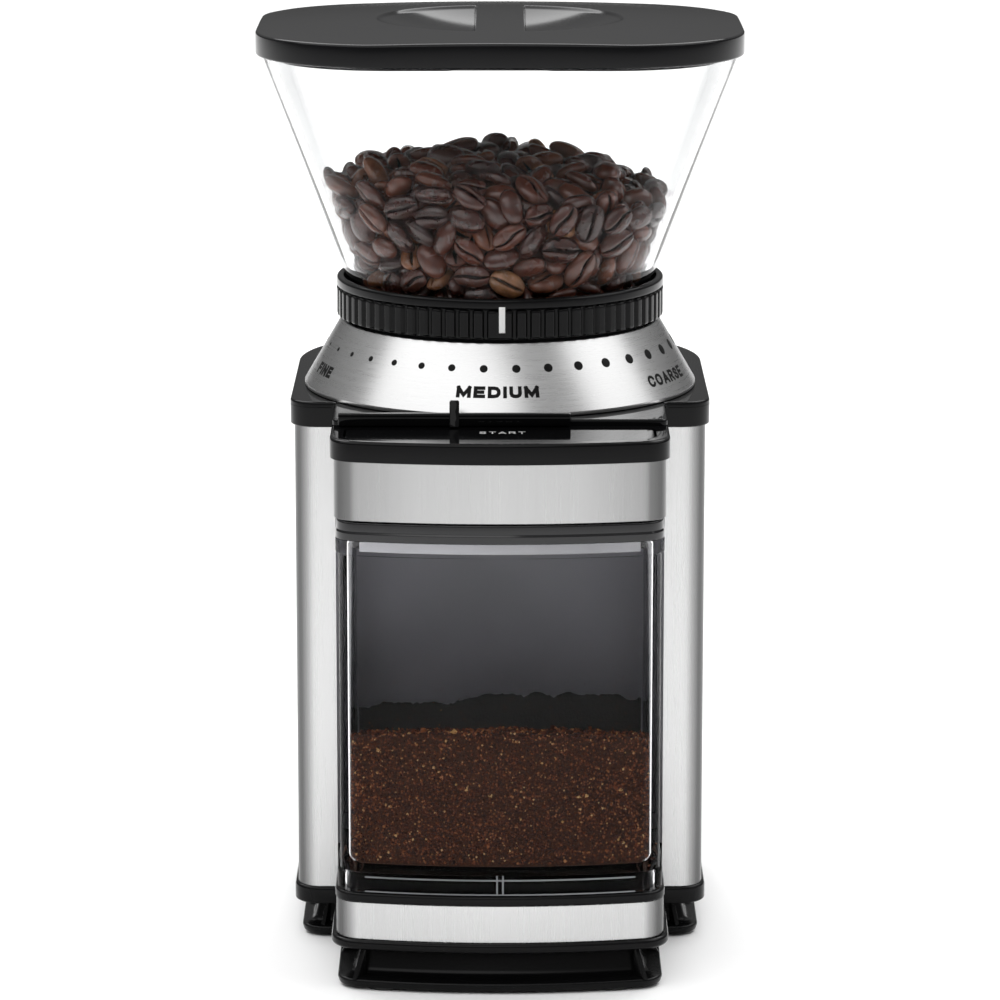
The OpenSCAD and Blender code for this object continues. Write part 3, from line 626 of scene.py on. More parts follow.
# ------------------------------------------------------------------ ribbed ring
def build_ring():
    g = Geo()
    n_rib, per = 72, 14
    n = n_rib * per
    z0, z1 = 184.0, 196.2
    zs = [184.0, 184.0, 184.25, 184.6]
    zs += [185.0 + 7.4 * i / 20 for i in range(21)]
    zs += [192.7, 193.0, 193.3, 193.6, 193.9, 194.2]
    rings = []
    for z in zs:
        ring = []
        for k in range(n):
            a = 2 * math.pi * k / n
            u = (k % per) / per          # 0..1 over one pitch
            d = abs(u - 0.5) * 2         # 0 at the rib's middle
            top = 192.6 - 1.5 * d ** 4 * 1.4
            rib = (1 - sstep((d - 0.52) / 0.26))
            rib *= 1 - sstep((z - top) / 0.55)
            rib *= sstep((z - 184.2) / 0.5)
            # flat pad behind the indicator mark
            ang = (math.degrees(a) + 90 + 180) % 360 - 180
            if abs(ang - 0.7) < 2.3:
                rib = max(rib, 1 - sstep((z - 192.4) / 0.5)) * sstep((z - 184.2) / 0.5)
            rim = sstep((z - 192.9) / 0.5)
            r = 47.55 + 1.15 * max(rib, rim)
            if z <= 184.0:
                r = 46.9
            ring.append((r * math.cos(a), r * math.sin(a), z))
        rings.append(ring)
    rings[0] = [(44.6 * math.cos(2 * math.pi * k / n), 44.6 * math.sin(2 * math.pi * k / n), z0) for k in range(n)]
    tail = profile([(48.7, 194.2), (48.7, 196.2, 1.3), (46.5, 196.2, 0.5), (46.5, 190.2, 0.3), (43.9, 190.2, 0.3), (43.9, 184.0, 0.2), (44.6, 184.0)], 5)[1:-1]
    for r, z in tail:
        rings.append([(r * math.cos(2 * math.pi * k / n), r * math.sin(2 * math.pi * k / n), z) for k in range(n)])
    g.rings(rings, loop=True)
    return g.make("ribbed_ring", M["ring_black"], "hopper", "gloss_black", ["hopper_ring"], angle=60)


M["ring_black"] = plastic("ring_black", (0.004, 0.004, 0.0043), 0.12, 0.2, grain=2400, bump=0.04, spec=0.14)
build_ring()


def curved_patch(a0, a1, z0, z1, r, t, rc=0.25, n=8):
    """A thin raised pad that follows a cylinder."""
    g = Geo()
    rings = []
    for off, rr in ((0.0, r - 0.4), (0.0, r + t - 0.12), (0.12, r + t - 0.03), (0.28, r + t)):
        ring = []
        da = math.degrees(off / r)
        A0, A1, Z0, Z1 = a0 + da, a1 - da, z0 + off, z1 - off
        for i in range(n + 1):
            ring.append((A0 + (A1 - A0) * i / n, Z0))
        for i in range(1, n + 1):
            ring.append((A1, Z0 + (Z1 - Z0) * i / n))
        for i in range(1, n + 1):
            ring.append((A1 + (A0 - A1) * i / n, Z1))
        for i in range(1, n):
            ring.append((A0, Z1 + (Z0 - Z1) * i / n))
        rings.append([(rr * math.cos(math.radians(a)), rr * math.sin(math.radians(a)), z) for a, z in ring])
    g.rings(rings)
    return g


curved_patch(-90.35, -88.25, 186.4, 194.0, 48.7, 0.22).make("indicator_line", M["white_mark"], "hopper", "white_mark", ["indicator_mark"], angle=60)

# ------------------------------------------------------------------ dial collar with its dots and legends
def collar_pt(phi, s, lift=0.0):
    """Point on the cone: phi is degrees round from the front towards +X, s is the height."""
    r = 58.4 - (58.4 - 47.4) * (s - 164.4) / (183.2 - 164.4)
    k = math.hypot(11.0, 18.8)
    nr, nz = 18.8 / k, 11.0 / k
    r += lift * nr
    z = s + lift * nz
    a = math.radians(-90 + phi)
    return (r * math.cos(a), r * math.sin(a), z)


def build_collar():
    g = Geo()
    p = profile([(57.3, 163.3), (58.4, 163.3, 0.25), (58.4, 164.4, 0.3), (47.4, 183.2, 0.35), (46.2, 183.2, 0.2), (57.1, 164.4, 0.2), (57.1, 163.3, 0.05), (57.3, 163.3)], 4)[:-1]
    g.lathe(p, n=288)
    return g.make("dial_cone", M["collar_steel"], "housing", "collar_steel", ["dial_collar"], angle=30)


build_collar()


def dots():
    g = Geo()
    for i in range(18):
        phi = -89.25 + 10.5 * i
        rad = 0.5 + 1.3 * (i / 17) ** 0.9
        mid = 176.4
        slope = math.hypot(11.0, 18.8) / 18.8
        r_here = 58.4 - 11.0 * (mid - 164.4) / 18.8
        rings = []
        for q, lift in ((1.0, -0.03), (1.0, 0.03), (0.9, 0.05), (0.0001, 0.05)):
            ring = []
            for k in range(28):
                t = 2 * math.pi * k / 28
                du, dv = rad * q * math.cos(t), rad * q * math.sin(t)
                ring.append(collar_pt(phi + math.degrees(du / r_here), mid + dv / slope, lift))
            rings.append(ring)
        g.rings(rings)
    g.make("grind_dots", M["print_black"], "housing", "gloss_black", angle=60)


dots()


LETTERS = {
    "M": (1.0, [[(0, 0), (0, 1)], [(0, 1), (0.5, 0.12), (1, 1)], [(1, 1), (1, 0)]]),
    "E": (0.72, [[(0, 0), (0, 1)], [(0, 0), (0.72, 0)], [(0, 0.51), (0.64, 0.51)], [(0, 1), (0.72, 1)]]),
    "D": (0.82, [[(0, 0), (0, 1), (0.4, 1), (0.66, 0.93), (0.8, 0.72), (0.82, 0.5), (0.8, 0.28), (0.66, 0.07), (0.4, 0), (0, 0)]]),
    "I": (0.0, [[(0, 0), (0, 1)]]),
    "U": (0.78, [[(0, 1), (0, 0.34), (0.07, 0.13), (0.22, 0.02), (0.39, 0), (0.56, 0.02), (0.71, 0.13), (0.78, 0.34), (0.78, 1)]]),
    "F": (0.68, [[(0, 0), (0, 1), (0.68, 1)], [(0, 0.49), (0.58, 0.49)]]),
    "N": (0.78, [[(0, 0), (0, 1)], [(0, 1), (0.78, 0)], [(0.78, 0), (0.78, 1)]]),
    "C": (0.8, [[(0.8, 0.77), (0.68, 0.93), (0.46, 1), (0.22, 0.95), (0.05, 0.76), (0, 0.5), (0.05, 0.24), (0.22, 0.05), (0.46, 0), (0.68, 0.07), (0.8, 0.23)]]),
    "O": (0.9, [[(0.45, 1), (0.2, 0.94), (0.04, 0.74), (0, 0.5), (0.04, 0.26), (0.2, 0.06), (0.45, 0), (0.7, 0.06), (0.86, 0.26), (0.9, 0.5), (0.86, 0.74), (0.7, 0.94), (0.45, 1)]]),
    "A": (0.84, [[(0, 0), (0.42, 1)], [(0.42, 1), (0.84, 0)], [(0.16, 0.3), (0.68, 0.3)]]),
    "R": (0.76, [[(0, 0), (0, 1), (0.48, 1), (0.68, 0.93), (0.74, 0.75), (0.68, 0.57), (0.48, 0.48), (0, 0.48)], [(0.42, 0.46), (0.76, 0)]]),
    "S": (0.74, [[(0.7, 0.8), (0.58, 0.95), (0.37, 1), (0.14, 0.94), (0.04, 0.76), (0.13, 0.59), (0.38, 0.51), (0.63, 0.42), (0.72, 0.24), (0.61, 0.06), (0.37, 0), (0.13, 0.05), (0, 0.21)]]),
    "T": (0.78, [[(0.39, 0), (0.39, 1)], [(0, 1), (0.78, 1)]]),
}


def letter_mesh(word, height, stroke, wide=1.0, gap=0.3, thick=0.06, step=1.0):
    """Generic block capitals made of mitred strokes, centred on the origin."""
    x = 0.0
    lines = []
    h = height - stroke
    for ch in word:
        w, strokes = LETTERS[ch]
        for st in strokes:
            lines.append([(x + px * h * wide, (py - 0.5) * h) for px, py in st])
        x += w * h * wide + stroke + gap * height
    x -= stroke + gap * height
    V, F = [], []
    for ln in lines:
        pts = []
        for a, b in zip(ln, ln[1:]):
            m = max(1, int(math.ceil(math.dist(a, b) / step)))
            pts += [(a[0] + (b[0] - a[0]) * k / m, a[1] + (b[1] - a[1]) * k / m) for k in range(m)]
        pts.append(ln[-1])
        closed = math.dist(pts[0], pts[-1]) < 1e-6
        if closed:
            pts = pts[:-1]
        n = len(pts)
        side = []
        for k in range(n):
            p0 = pts[k - 1] if (k > 0 or closed) else None
            p1 = pts[(k + 1) % n] if (k < n - 1 or closed) else None
            d0 = Vector((pts[k][0] - p0[0], pts[k][1] - p0[1])).normalized() if p0 else None
            d1 = Vector((p1[0] - pts[k][0], p1[1] - pts[k][1])).normalized() if p1 else None
            d0, d1 = d0 or d1, d1 or d0
            t = (d0 + d1).normalized()
            nrm = Vector((-t.y, t.x))
            m = min(1.6, 1 / max(0.3, t.dot(d0)))
            ext = Vector((0, 0))
            if p0 is None:
                ext = -d1 * stroke * 0.5
            elif p1 is None:
                ext = d0 * stroke * 0.5
            c = Vector(pts[k]) + ext
            side.append((c + nrm * stroke * 0.5 * m, c - nrm * stroke * 0.5 * m))
        base = len(V)
        for l, r in side:
            for q, z in ((l, -thick / 2), (r, -thick / 2), (r, thick / 2), (l, thick / 2)):
                V.append((q.x - x / 2, q.y, z))
        for k in range(n if closed else n - 1):
            a, b = base + 4 * k, base + 4 * ((k + 1) % n)
            for e in range(4):
                e2 = (e + 1) % 4
                F.append((a + e, a + e2, b + e2, b + e))
        if not closed:
            F.append((base + 3, base + 2, base + 1, base))
            e = base + 4 * (n - 1)
            F.append((e, e + 1, e + 2, e + 3))
    return V, F


def legend(word, phi0, z0, height, stroke, wide, gap, name):
    v, f = letter_mesh(word, height, stroke, wide, gap)
    slope = math.hypot(11.0, 18.8) / 18.8
    r_here = 58.4 - 11.0 * (z0 - 164.4) / 18.8
    out = [collar_pt(phi0 + math.degrees(x / r_here), z0 + y / slope, 0.02 + z) for x, y, z in v]
    Geo().add(out, f).make(name, M["print_black"], "housing", "gloss_black", angle=60)


legend("MEDIUM", -0.7, 170.2, 3.6, 1.08, 1.28, 0.2, "legend_medium")
legend("FINE", -70.5, 170.1, 3.5, 0.95, 1.1, 0.18, "legend_fine")
legend("COARSE", 63.0, 169.4, 3.7, 0.85, 1.0, 0.19, "legend_coarse")

# ------------------------------------------------------------------ top deck with its ledge
def deck_outline(o):
    """Housing outline joined to the ledge in front of it."""
    w, f, b = HW + 1.2, HF + 1.2, HB + 1.2
    lw, lf = 48.2, 60.0
    r1, r2, rc, ri = RF + 1.2 + o, RB + 1.2 + o, 2.0 + o, max(1.2 - o, 0.1)
    r1, rc = max(r1, 0.2), max(rc, 0.2)
    W, F, B, LW, LF = w + o, f + o, b + o, lw + o, lf + o
    p = []
    p += arc(-W + r1, -F + r1, r1, 180, 270, 12)
    p += arc(-LW - ri, -F - ri, ri, 90, 0, 5)
    p += arc(-LW + rc, -LF + rc, rc, 180, 270, 6)
    p += arc(LW - rc, -LF + rc, rc, 270, 360, 6)
    p += arc(LW + ri, -F - ri, ri, 180, 90, 5)
    p += arc(W - r1, -F + r1, r1, 270, 360, 12)
    p += arc(W - r2, B - r2, r2, 0, 90, 40)
    p += arc(-W + r2, B - r2, r2, 90, 180, 40)
    return p


def cap_hole(g, outer, inner, z, up=True):
    """Flat face between an outer and an inner loop."""
    pts = [[Vector((x, y, 0)) for x, y in outer], [Vector((x, y, 0)) for x, y in inner]]
    tris = tessellate_polygon(pts)
    flat = outer + inner
    v = [(x, y, z) for x, y in flat]
    f = []
    for t in tris:
        a, b, c = (Vector((*flat[i], 0)) for i in t)
        n = (b - a).cross(c - a).z
        t = tuple(t)
        if (n > 0) != up:
            t = t[::-1]
        if abs(n) > 1e-9:
            f.append(t)
    g.add(v, f)


def build_deck():
    g = Geo()
    # upper plate with the ledge, rounded top edge, hole for the mill
    pr = profile([(0, 161.45), (0, 163.2, 0.9), (-1.4, 163.2)], 5)
    g.sweep(deck_outline, pr, cap0=False, cap1=False)
    hole = [(44.5 * math.cos(2 * math.pi * k / 120), 44.5 * math.sin(2 * math.pi * k / 120)) for k in range(120)]
    cap_hole(g, deck_outline(-1.4), hole, 163.2)
    cap_hole(g, deck_outline(0), hole, 161.45, up=False)
    g.rings([[(x, y, 161.45) for x, y in hole], [(x, y, 163.2) for x, y in hole]], cap0=False, cap1=False)
    # the lip round the housing, open where the control head joins
    path = lambda o: [p for p in rot_open(plan_d(1.2 + o))]
    lip = profile([(0, 161.6), (0, 155.6, 0.5), (-2.0, 155.6, 0.3), (-2.0, 161.6)], 4)
    rings = [[(x, y, z) for x, y in path(o)] for o, z in lip]
    n = len(rings[0]); m = len(rings)
    g2v = [p for r in rings for p in r]
    g2f = []
    for i in range(m):
        for k in range(n - 1):
            a, b = i * n, ((i + 1) % m) * n
            g2f.append((a + k, a + k + 1, b + k + 1, b + k))
    g2f.append(tuple(i * n for i in range(m)))
    g2f.append(tuple(i * n + n - 1 for i in reversed(range(m))))
    g.add(g2v, g2f)
    return g.make("deck", M["gloss_black"], "housing", "gloss_black", ["top_deck"], angle=35)


def rot_open(p, gap=48.6):
    """Turns the closed housing plan into an open path that starts and ends at the front gap."""
    i = max(range(len(p)), key=lambda k: (p[k][1] < 0 and p[k][0] > 0, -p[k][1], -abs(p[k][0] - 53)))
    # index of the front right corner's first point and the front left corner's last point
    right = [k for k in range(len(p)) if p[k][0] > 0 and abs(p[k][1] - min(q[1] for q in p)) < 1e-6][0]
    left = [k for k in range(len(p)) if p[k][0] < 0 and abs(p[k][1] - min(q[1] for q in p)) < 1e-6][-1]
    yf = min(q[1] for q in p)
    seq = [(gap, yf)]
    k = right
    while True:
        seq.append(p[k])
        if k == left:
            break
        k = (k + 1) % len(p)
    seq.append((-gap, yf))
    return seq


build_deck()

# ------------------------------------------------------------------ control head
def bar_outline(o):
    """Start bar outline: follows the bowed front, straight behind."""
    r = max(4.7 + o, 0.3)
    R = RBOW - 3.3 + o
    hw = CW - 3.3 + o
    cx = hw - r
    cy = BOWY - math.sqrt((R - r) ** 2 - cx * cx)
    ang = math.degrees(math.atan2(cy - BOWY, cx))
    yb = -65.1 + o
    rb = max(1.6 + o, 0.1)
    p = arc(-hw + rb, yb - rb, rb, 90, 180, 6)
    p += arc(-cx, cy, r, 180, 180 - ang, 10)
    p += arc(0, BOWY, R, -180 - ang, ang, 40)[1:-1]
    p += arc(cx, cy, r, ang, 0, 10)
    p += arc(hw - rb, yb - rb, rb, 0, 90, 6)
    return p


def build_head():
    g = Geo()
    full = lambda o: plan_c(1.0 + o, yb=-33.4, rback=0.6)
    pr = profile([(0, 155.45), (0, 155.46), (0, 161.4, 1.3), (-1.9, 161.4)], 6)
    g.sweep(full, [(-1.2, 155.45)] + pr, cap0=True, cap1=False)
    hole = bar_outline(0.45)
    cap_hole(g, full(-1.9), hole, 161.4)
    rec = profile([(0.45, 161.4), (0.45, 161.1), (0.45, 156.9, 0.3), (-1.2, 156.9)], 3)[0:]
    rings = [[(x, y, z) for x, y in bar_outline(o)] for o, z in rec]
    g.rings(rings, cap0=False, cap1=True)
    return g.make("head_lip", M["gloss_black"], "housing", "gloss_black", ["head_shell"], angle=35)


build_head()


def build_head_lower():
    """Hidden carcass of the head behind the steel band, open on the inside."""
    g = Geo()
    o0, o1 = -0.85, -3.0
    a = plan_c(o0, yb=-33.5)
    b = plan_c(o1, yb=-33.5)
    n = len(a)
    rings = [[(x, y, 138.1) for x, y in a], [(x, y, 155.6) for x, y in a], [(x, y, 155.6) for x, y in b], [(x, y, 138.1) for x, y in b]]
    v = [p for r in rings for p in r]
    f = []
    for i in range(4):
        for k in range(n - 1):
            A, B = i * n, ((i + 1) % 4) * n
            f.append((A + k, A + k + 1, B + k + 1, B + k))
    f.append(tuple(i * n for i in range(4)))
    f.append(tuple(i * n + n - 1 for i in reversed(range(4))))
    g.add(v, f)
    # floor of the head with the chute's hole
    outer = plan_c(-2.9, yb=-33.5)
    hole = [(-15.2, -57.3), (15.2, -57.3), (15.2, -34.6), (-15.2, -34.6)]
    cap_hole(g, outer, hole, 138.1, up=False)
    cap_hole(g, outer, hole, 140.0, up=True)
    g.rings([[(x, y, 138.1) for x, y in hole], [(x, y, 140.0) for x, y in hole]], cap0=False, cap1=False)
    g.rings([[(x, y, 140.0) for x, y in outer], [(x, y, 138.1) for x, y in outer]], cap0=False, cap1=False)
    return g.make("head_carcass", M["black_plastic"], "housing", "gloss_black", angle=35)


build_head_lower()


def bar_drop(y):
    """The bar's top falls slightly towards its front."""
    return 0.75 * max(0.0, min(1.0, (-65.5 - y) / 19.0))


def build_start_bar():
    g = Geo()
    pr = [(-1.0, 158.9)] + profile([(-0.0, 158.9), (0, 159.0), (0, 161.4, 0.6), (-1.1, 161.4)], 5)
    g.sweep(bar_outline, pr, cap1=False)
    edge = bar_outline(-1.1)
    cy = -75.0
    rings = [[(x * k + 0.0, cy + (y - cy) * k, 161.4) for x, y in edge] for k in (1.0, 0.8, 0.6, 0.4, 0.2, 0.02)]
    g.rings(rings, cap0=False, cap1=True)
    for x, r, z in ((-35, 2.0, 152), (35, 2.0, 152), (16, 1.5, 155.4)):
        g.lathe([(0.01, z), (r - 0.3, z), (r, z + 0.3), (r, 158.95), (0.01, 158.95)], x, -75, 32)
    g.v = [(x, y, z - bar_drop(y) if z > 160.5 else z) for x, y, z in g.v]
    return g.make("start_bar_cap", M["gloss_black"], "start_bar", "gloss_black", ["start_bar"], angle=35)


build_start_bar()


def start_legend():
    v, f = letter_mesh("START", 2.5, 0.36, 1.0, 0.3, 0.03)
    Geo().add([(0.7 + a, -69.6 + b, 161.42 - bar_drop(-69.6 + b) + c) for a, b, c in v], f).make("legend_start", M["print_white"], "start_bar", "white_mark", angle=60)


start_legend()


def build_slider():
    g = Geo()
    g.box(-46.5, 20.3, -62.8, -60.3, 161.7, 165.4, 0.45, 3)
    # nub with a hollowed front, from its side profile
    side = [(-60.35, 161.75), (-60.35, 168.6), (-60.75, 169.0), (-61.6, 168.95), (-62.3, 167.9), (-62.85, 166.3), (-63.6, 164.2), (-64.4, 162.6), (-64.6, 161.9), (-64.4, 161.75)]
    rings = []
    for x, s in ((-14.5, 0.82), (-14.42, 0.94), (-14.2, 1.0), (-12.0, 1.0), (-11.78, 0.94), (-11.7, 0.82)):
        cy, cz = -62.2, 164.9
        rings.append([(x, cy + (y - cy) * s, cz + (z - cz) * (s if s > 0.9 else 0.93)) for y, z in side])
    g.rings(rings)
    g.box(-14.1, -12.1, -62.2, -61.0, 151.6, 162.2, 0.2, 2)
    return g.make("slider_strip", M["gloss_black"], "cup_slider", "gloss_black", ["cup_slider"], angle=40)


build_slider()


def band(name, z0, z1, node, yb=-32.9):
    g = Geo()
    a = plan_c(0, yb=yb, nb=72, nc=20)
    b = plan_c(-0.78, yb=yb, nb=72, nc=20)
    c = plan_c(-0.12, yb=yb, nb=72, nc=20)
    n = len(a)
    rings = [[(x, y, z0) for x, y in b], [(x, y, z0) for x, y in c], [(x, y, z0 + 0.12) for x, y in a]]
    steps = 6
    for i in range(1, steps):
        rings.append([(x, y, z0 + 0.12 + (z1 - z0 - 0.24) * i / steps) for x, y in a])
    rings += [[(x, y, z1 - 0.12) for x, y in a], [(x, y, z1) for x, y in c], [(x, y, z1) for x, y in b]]
    m = len(rings)
    v = [p for r in rings for p in r]
    f = []
    for i in range(m):
        for k in range(n - 1):
            A, B = i * n, ((i + 1) % m) * n
            f.append((A + k, A + k + 1, B + k + 1, B + k))
    f.append(tuple(i * n for i in range(m)))
    f.append(tuple(i * n + n - 1 for i in reversed(range(m))))
    g.add(v, f)
    return g.make(name, M["band_steel" if z0 > 100 else "brushed_steel"], "housing", "brushed_steel", [node], angle=30)


band("head_steel_band", 138.2, 155.35, "head_band")
band("base_steel_band", 14.65, 25.65, "front_band")

# ------------------------------------------------------------------ steel wrap
def build_wrap():
    g = Geo()
    a = rot_open(plan_d(0, nf=20, nb=64), 48.5)
    b = rot_open(plan_d(-0.78, nf=20, nb=64), 48.5)
    # add the two edges of the rear window to the path
    def with_window(p):
        q = []
        for k, pt in enumerate(p):
            q.append(pt)
            if k + 1 < len(p):
                x0, x1 = pt[0], p[k + 1][0]
                if pt[1] > 20 and p[k + 1][1] > 20:
                    for e in (35.0, -35.0):
                        if min(x0, x1) < e < max(x0, x1):
                            t = (e - x0) / (x1 - x0)
                            q.append((e, pt[1] + (p[k + 1][1] - pt[1]) * t))
        return q
    a, b = with_window(a), with_window(b)
    n = len(a)
    zs = [15.35, 30.0] + [30.0 + 100.0 * i / 5 for i in range(1, 6)] + [155.55]
    m = len(zs)
    hole = lambda i, k: (30.0 <= zs[i] and zs[i + 1] <= 130.01 and abs((a[k][0] + a[k + 1][0]) / 2) < 35 and a[k][1] > 20)
    v = [(x, y, z) for z in zs for x, y in a] + [(x, y, z) for z in zs for x, y in b]
    f = []
    off = n * m
    solid = {}
    for i in range(m - 1):
        for k in range(n - 1):
            solid[i, k] = not hole(i, k)
            if solid[i, k]:
                f.append((i * n + k, i * n + k + 1, (i + 1) * n + k + 1, (i + 1) * n + k))
                f.append((off + (i + 1) * n + k, off + (i + 1) * n + k + 1, off + i * n + k + 1, off + i * n + k))
    for i in range(m - 1):
        for k in range(n - 1):
            if not solid[i, k]:
                continue
            for di, dk, e in ((-1, 0, (i * n + k, i * n + k + 1)), (1, 0, ((i + 1) * n + k + 1, (i + 1) * n + k)),
                              (0, -1, ((i + 1) * n + k, i * n + k)), (0, 1, (i * n + k + 1, (i + 1) * n + k + 1))):
                if not solid.get((i + di, k + dk), False):
                    p, q = e
                    f.append((q, p, off + p, off + q))
    g.add(v, f)
    return g.make("steel_shell", M["brushed_steel"], "housing", "brushed_steel", ["steel_wrap"], angle=30)


build_wrap()

# ------------------------------------------------------------------ base, trims and foot
def build_base():
    g = Geo()
    # housing floor and lip
    pr = [(-3, 10.0)] + profile([(-0.3, 10.0), (1.0, 10.0, 0.9), (1.0, 15.3, 1.4), (-0.9, 15.3)], 5)[1:] + [(-2.4, 15.3), (-2.4, 13.0), (-4, 13.0)]
    g.sweep(lambda o: plan_d(o), pr, cap0=False, cap1=False)
    hole = [(24 * math.cos(2 * math.pi * k / 96), 30 + 24 * math.sin(2 * math.pi * k / 96)) for k in range(96)]
    cap_hole(g, plan_d(-4), hole, 13.0)
    cap_hole(g, plan_d(-3), hole, 10.0, up=False)
    g.rings([[(x, y, 10.0) for x, y in hole], [(x, y, 13.0) for x, y in hole]], cap0=False, cap1=False)
    # front block: lower lip, core, upper trim
    f = lambda o: plan_c(o, yb=-30.5, rback=0.5)
    pr = profile([(-4.0, 11.6), (1.5, 11.6, 1.2), (1.5, 14.6, 1.0), (-0.84, 14.6), (-0.84, 25.7), (0.3, 25.7, 0.5), (0.3, 28.5, 0.8), (-2.0, 28.5)], 5)
    g.sweep(f, pr)
    g.box(-47.0, 47.0, -31.0, -12.1, 12.0, 28.5, 0.4, 2)
    return g.make("base_mouldings", M["trim_black"], "housing", "black_plastic", ["base_tray"], angle=35)


build_base()


def gusset(g, x, y, ang, h0=3.0, h1=9.8, reach=5.5, t=1.5):
    c, s = math.cos(math.radians(ang)), math.sin(math.radians(ang))
    tri = [(-0.6, h0), (reach, h0), (reach - 0.5, h0 + 0.9), (0.3, h1), (-0.6, h1)]
    rings = []
    for w, k in ((-t / 2, 0.86), (-t / 2 + 0.2, 1.0), (t / 2 - 0.2, 1.0), (t / 2, 0.86)):
        ring = []
        for u, z in tri:
            uu = u if k == 1.0 else 0.3 + (u - 0.3) * k
            zz = z if k == 1.0 else 5.5 + (z - 5.5) * k
            ring.append((x + c * uu - s * w, y + s * uu + c * w, zz))
        rings.append(ring)
    g.rings(rings)


def build_foot():
    g = Geo()
    d = lambda o: plan_d(o, hw=HW - 1, yf=34.0, yb=90.0, rf=7.0, rb=48.0)
    c = lambda o: plan_c(o, yb=-24.0, dy=3.2, rback=0.5)
    # flange sweeping up into the inset wall
    pd = profile([(-7.4, 0.8), (-0.7, 0.8, 0.5), (0.0, 3.0, 0.7), (-3.6, 3.9, 2.2), (-5.2, 10.0), (-7.4, 10.0)], 5)
    g.sweep(d, pd, cap0=False, cap1=False)
    inner = d(-7.4)
    hole = d(-17)
    cap_hole(g, inner, hole, 0.8, up=False)
    cap_hole(g, inner, hole, 3.2, up=True)
    g.rings([[(x, y, 0.8) for x, y in hole], [(x, y, 3.2) for x, y in hole]], cap0=False, cap1=False)
    g.rings([[(x, y, 3.2) for x, y in inner], [(x, y, 10.0) for x, y in inner]], cap0=False, cap1=False)
    pc = profile([(-9.0, 0.8), (-0.9, 0.8, 0.5), (-0.2, 3.0, 0.7), (-5.6, 4.2, 2.6), (-8.0, 11.6), (-9.0, 11.6)], 5)
    g.sweep(c, pc)
    for s in (-1, 1):
        gusset(g, s * 39.6, -81.6, -90 + s * 38, reach=4.4, h1=11.4)
        gusset(g, s * 41.6, -58, 0 if s > 0 else 180, reach=5.2, h1=11.4)
        gusset(g, s * 51.8, -30.6, -90 + s * 40, reach=2.6)
        for y in (-8, 22):
            gusset(g, s * 55.0, y, 0 if s > 0 else 180, reach=3.8)
        gusset(g, s * 10, 85.6, 90, reach=3.8)
    return g.make("foot", M["foot_black"], "housing", "gloss_black", ["foot_skirt"], angle=35)


build_foot()

# ------------------------------------------------------------------ rear cover
def build_rear():
    g = Geo()
    full = plan_d(0.6, nb=64)
    back = plan_d(-0.78, nb=64)
    sel = [k for k in range(len(full)) if full[k][1] > 60 and abs(full[k][0]) < 34.3]
    pts = []
    for src in (full, back):
        seq = [src[k] for k in sel]
        # clip the ends exactly at x = +-34.7
        def at(e, i0, i1):
            t = (e - src[i0][0]) / (src[i1][0] - src[i0][0])
            return (e, src[i0][1] + (src[i1][1] - src[i0][1]) * t)
        seq = [at(34.7, sel[0] - 1, sel[0])] + seq + [at(-34.7, sel[-1], sel[-1] + 1)]
        pts.append(seq)
    # refine the flat middle so the louvre slots have edges to end on
    def refine(seq):
        out = []
        for k, p in enumerate(seq):
            out.append(p)
            if k + 1 < len(seq):
                for e in (22.0, 20.8, -20.8, -22.0):
                    x0, x1 = p[0], seq[k + 1][0]
                    if min(x0, x1) < e < max(x0, x1):
                        t = (e - x0) / (x1 - x0)
                        out.append((e, p[1] + (seq[k + 1][1] - p[1]) * t))
        return out
    a, b = refine(pts[0]), refine(pts[1])
    n = min(len(a), len(b))
    zs = [30.3, 31.0]
    for i in range(14):
        zs += [62 + i * 4.4, 64.4 + i * 4.4]
    zs += [129.0, 129.7]
    m = len(zs)
    def slot_at(i, k):
        zm = (zs[i] + zs[i + 1]) / 2
        xm = (a[k][0] + a[k + 1][0]) / 2
        return abs(xm) < 21.9 and 62 <= zm <= 121.7 and any(62 + j * 4.4 < zm < 64.4 + j * 4.4 for j in range(14))
    v, f = [], []
    inset = lambda i: 0.5 if i in (0, m - 1) else 0.0
    for i, z in enumerate(zs):
        for (x, y), (x2, y2) in zip(a, b):
            k = inset(i)
            v.append((x, y - k * 0.6 if y > 0 else y, z))
    off = len(v)
    for z in zs:
        v += [(x, y, z) for x, y in b]
    solid = {(i, k): not slot_at(i, k) for i in range(m - 1) for k in range(n - 1)}
    for (i, k), ok in solid.items():
        if ok:
            f.append((i * n + k, i * n + k + 1, (i + 1) * n + k + 1, (i + 1) * n + k))
            f.append((off + (i + 1) * n + k, off + (i + 1) * n + k + 1, off + i * n + k + 1, off + i * n + k))
            for di, dk, e in ((-1, 0, (i * n + k, i * n + k + 1)), (1, 0, ((i + 1) * n + k + 1, (i + 1) * n + k)),
                              (0, -1, ((i + 1) * n + k, i * n + k)), (0, 1, (i * n + k + 1, (i + 1) * n + k + 1))):
                if not solid.get((i + di, k + dk), False):
                    p, q = e
                    f.append((q, p, off + p, off + q))
    g.add(v, f)
    return g.make("rear_panel", M["black_plastic"], "housing", "black_plastic", ["rear_cover"], angle=30)


build_rear()


def build_gland():
    g = Geo()
    pr = profile([(3.7, 78), (6.4, 78, 0.3), (6.4, 81, 0.1), (9, 81, 0.3), (9, 83, 0.3), (6.4, 83, 0.1), (6.4, 86.6, 0.1), (9, 86.6, 0.2),
                  (9, 88.0, 0.7), (6.6, 88.6, 0.3), (6.2, 90.0, 0.6), (3.7, 90.0, 0.4), (3.7, 78)], 3)[:-1]
    n = 64
    rings = [[(r * math.cos(2 * math.pi * k / n), y, 46 + r * math.sin(2 * math.pi * k / n)) for k in range(n)] for r, y in pr]
    g.rings(rings, loop=True)
    return g.make("lead_gland", M["rubber"], "housing", "rubber", ["cord_gland"], angle=40)


build_gland()

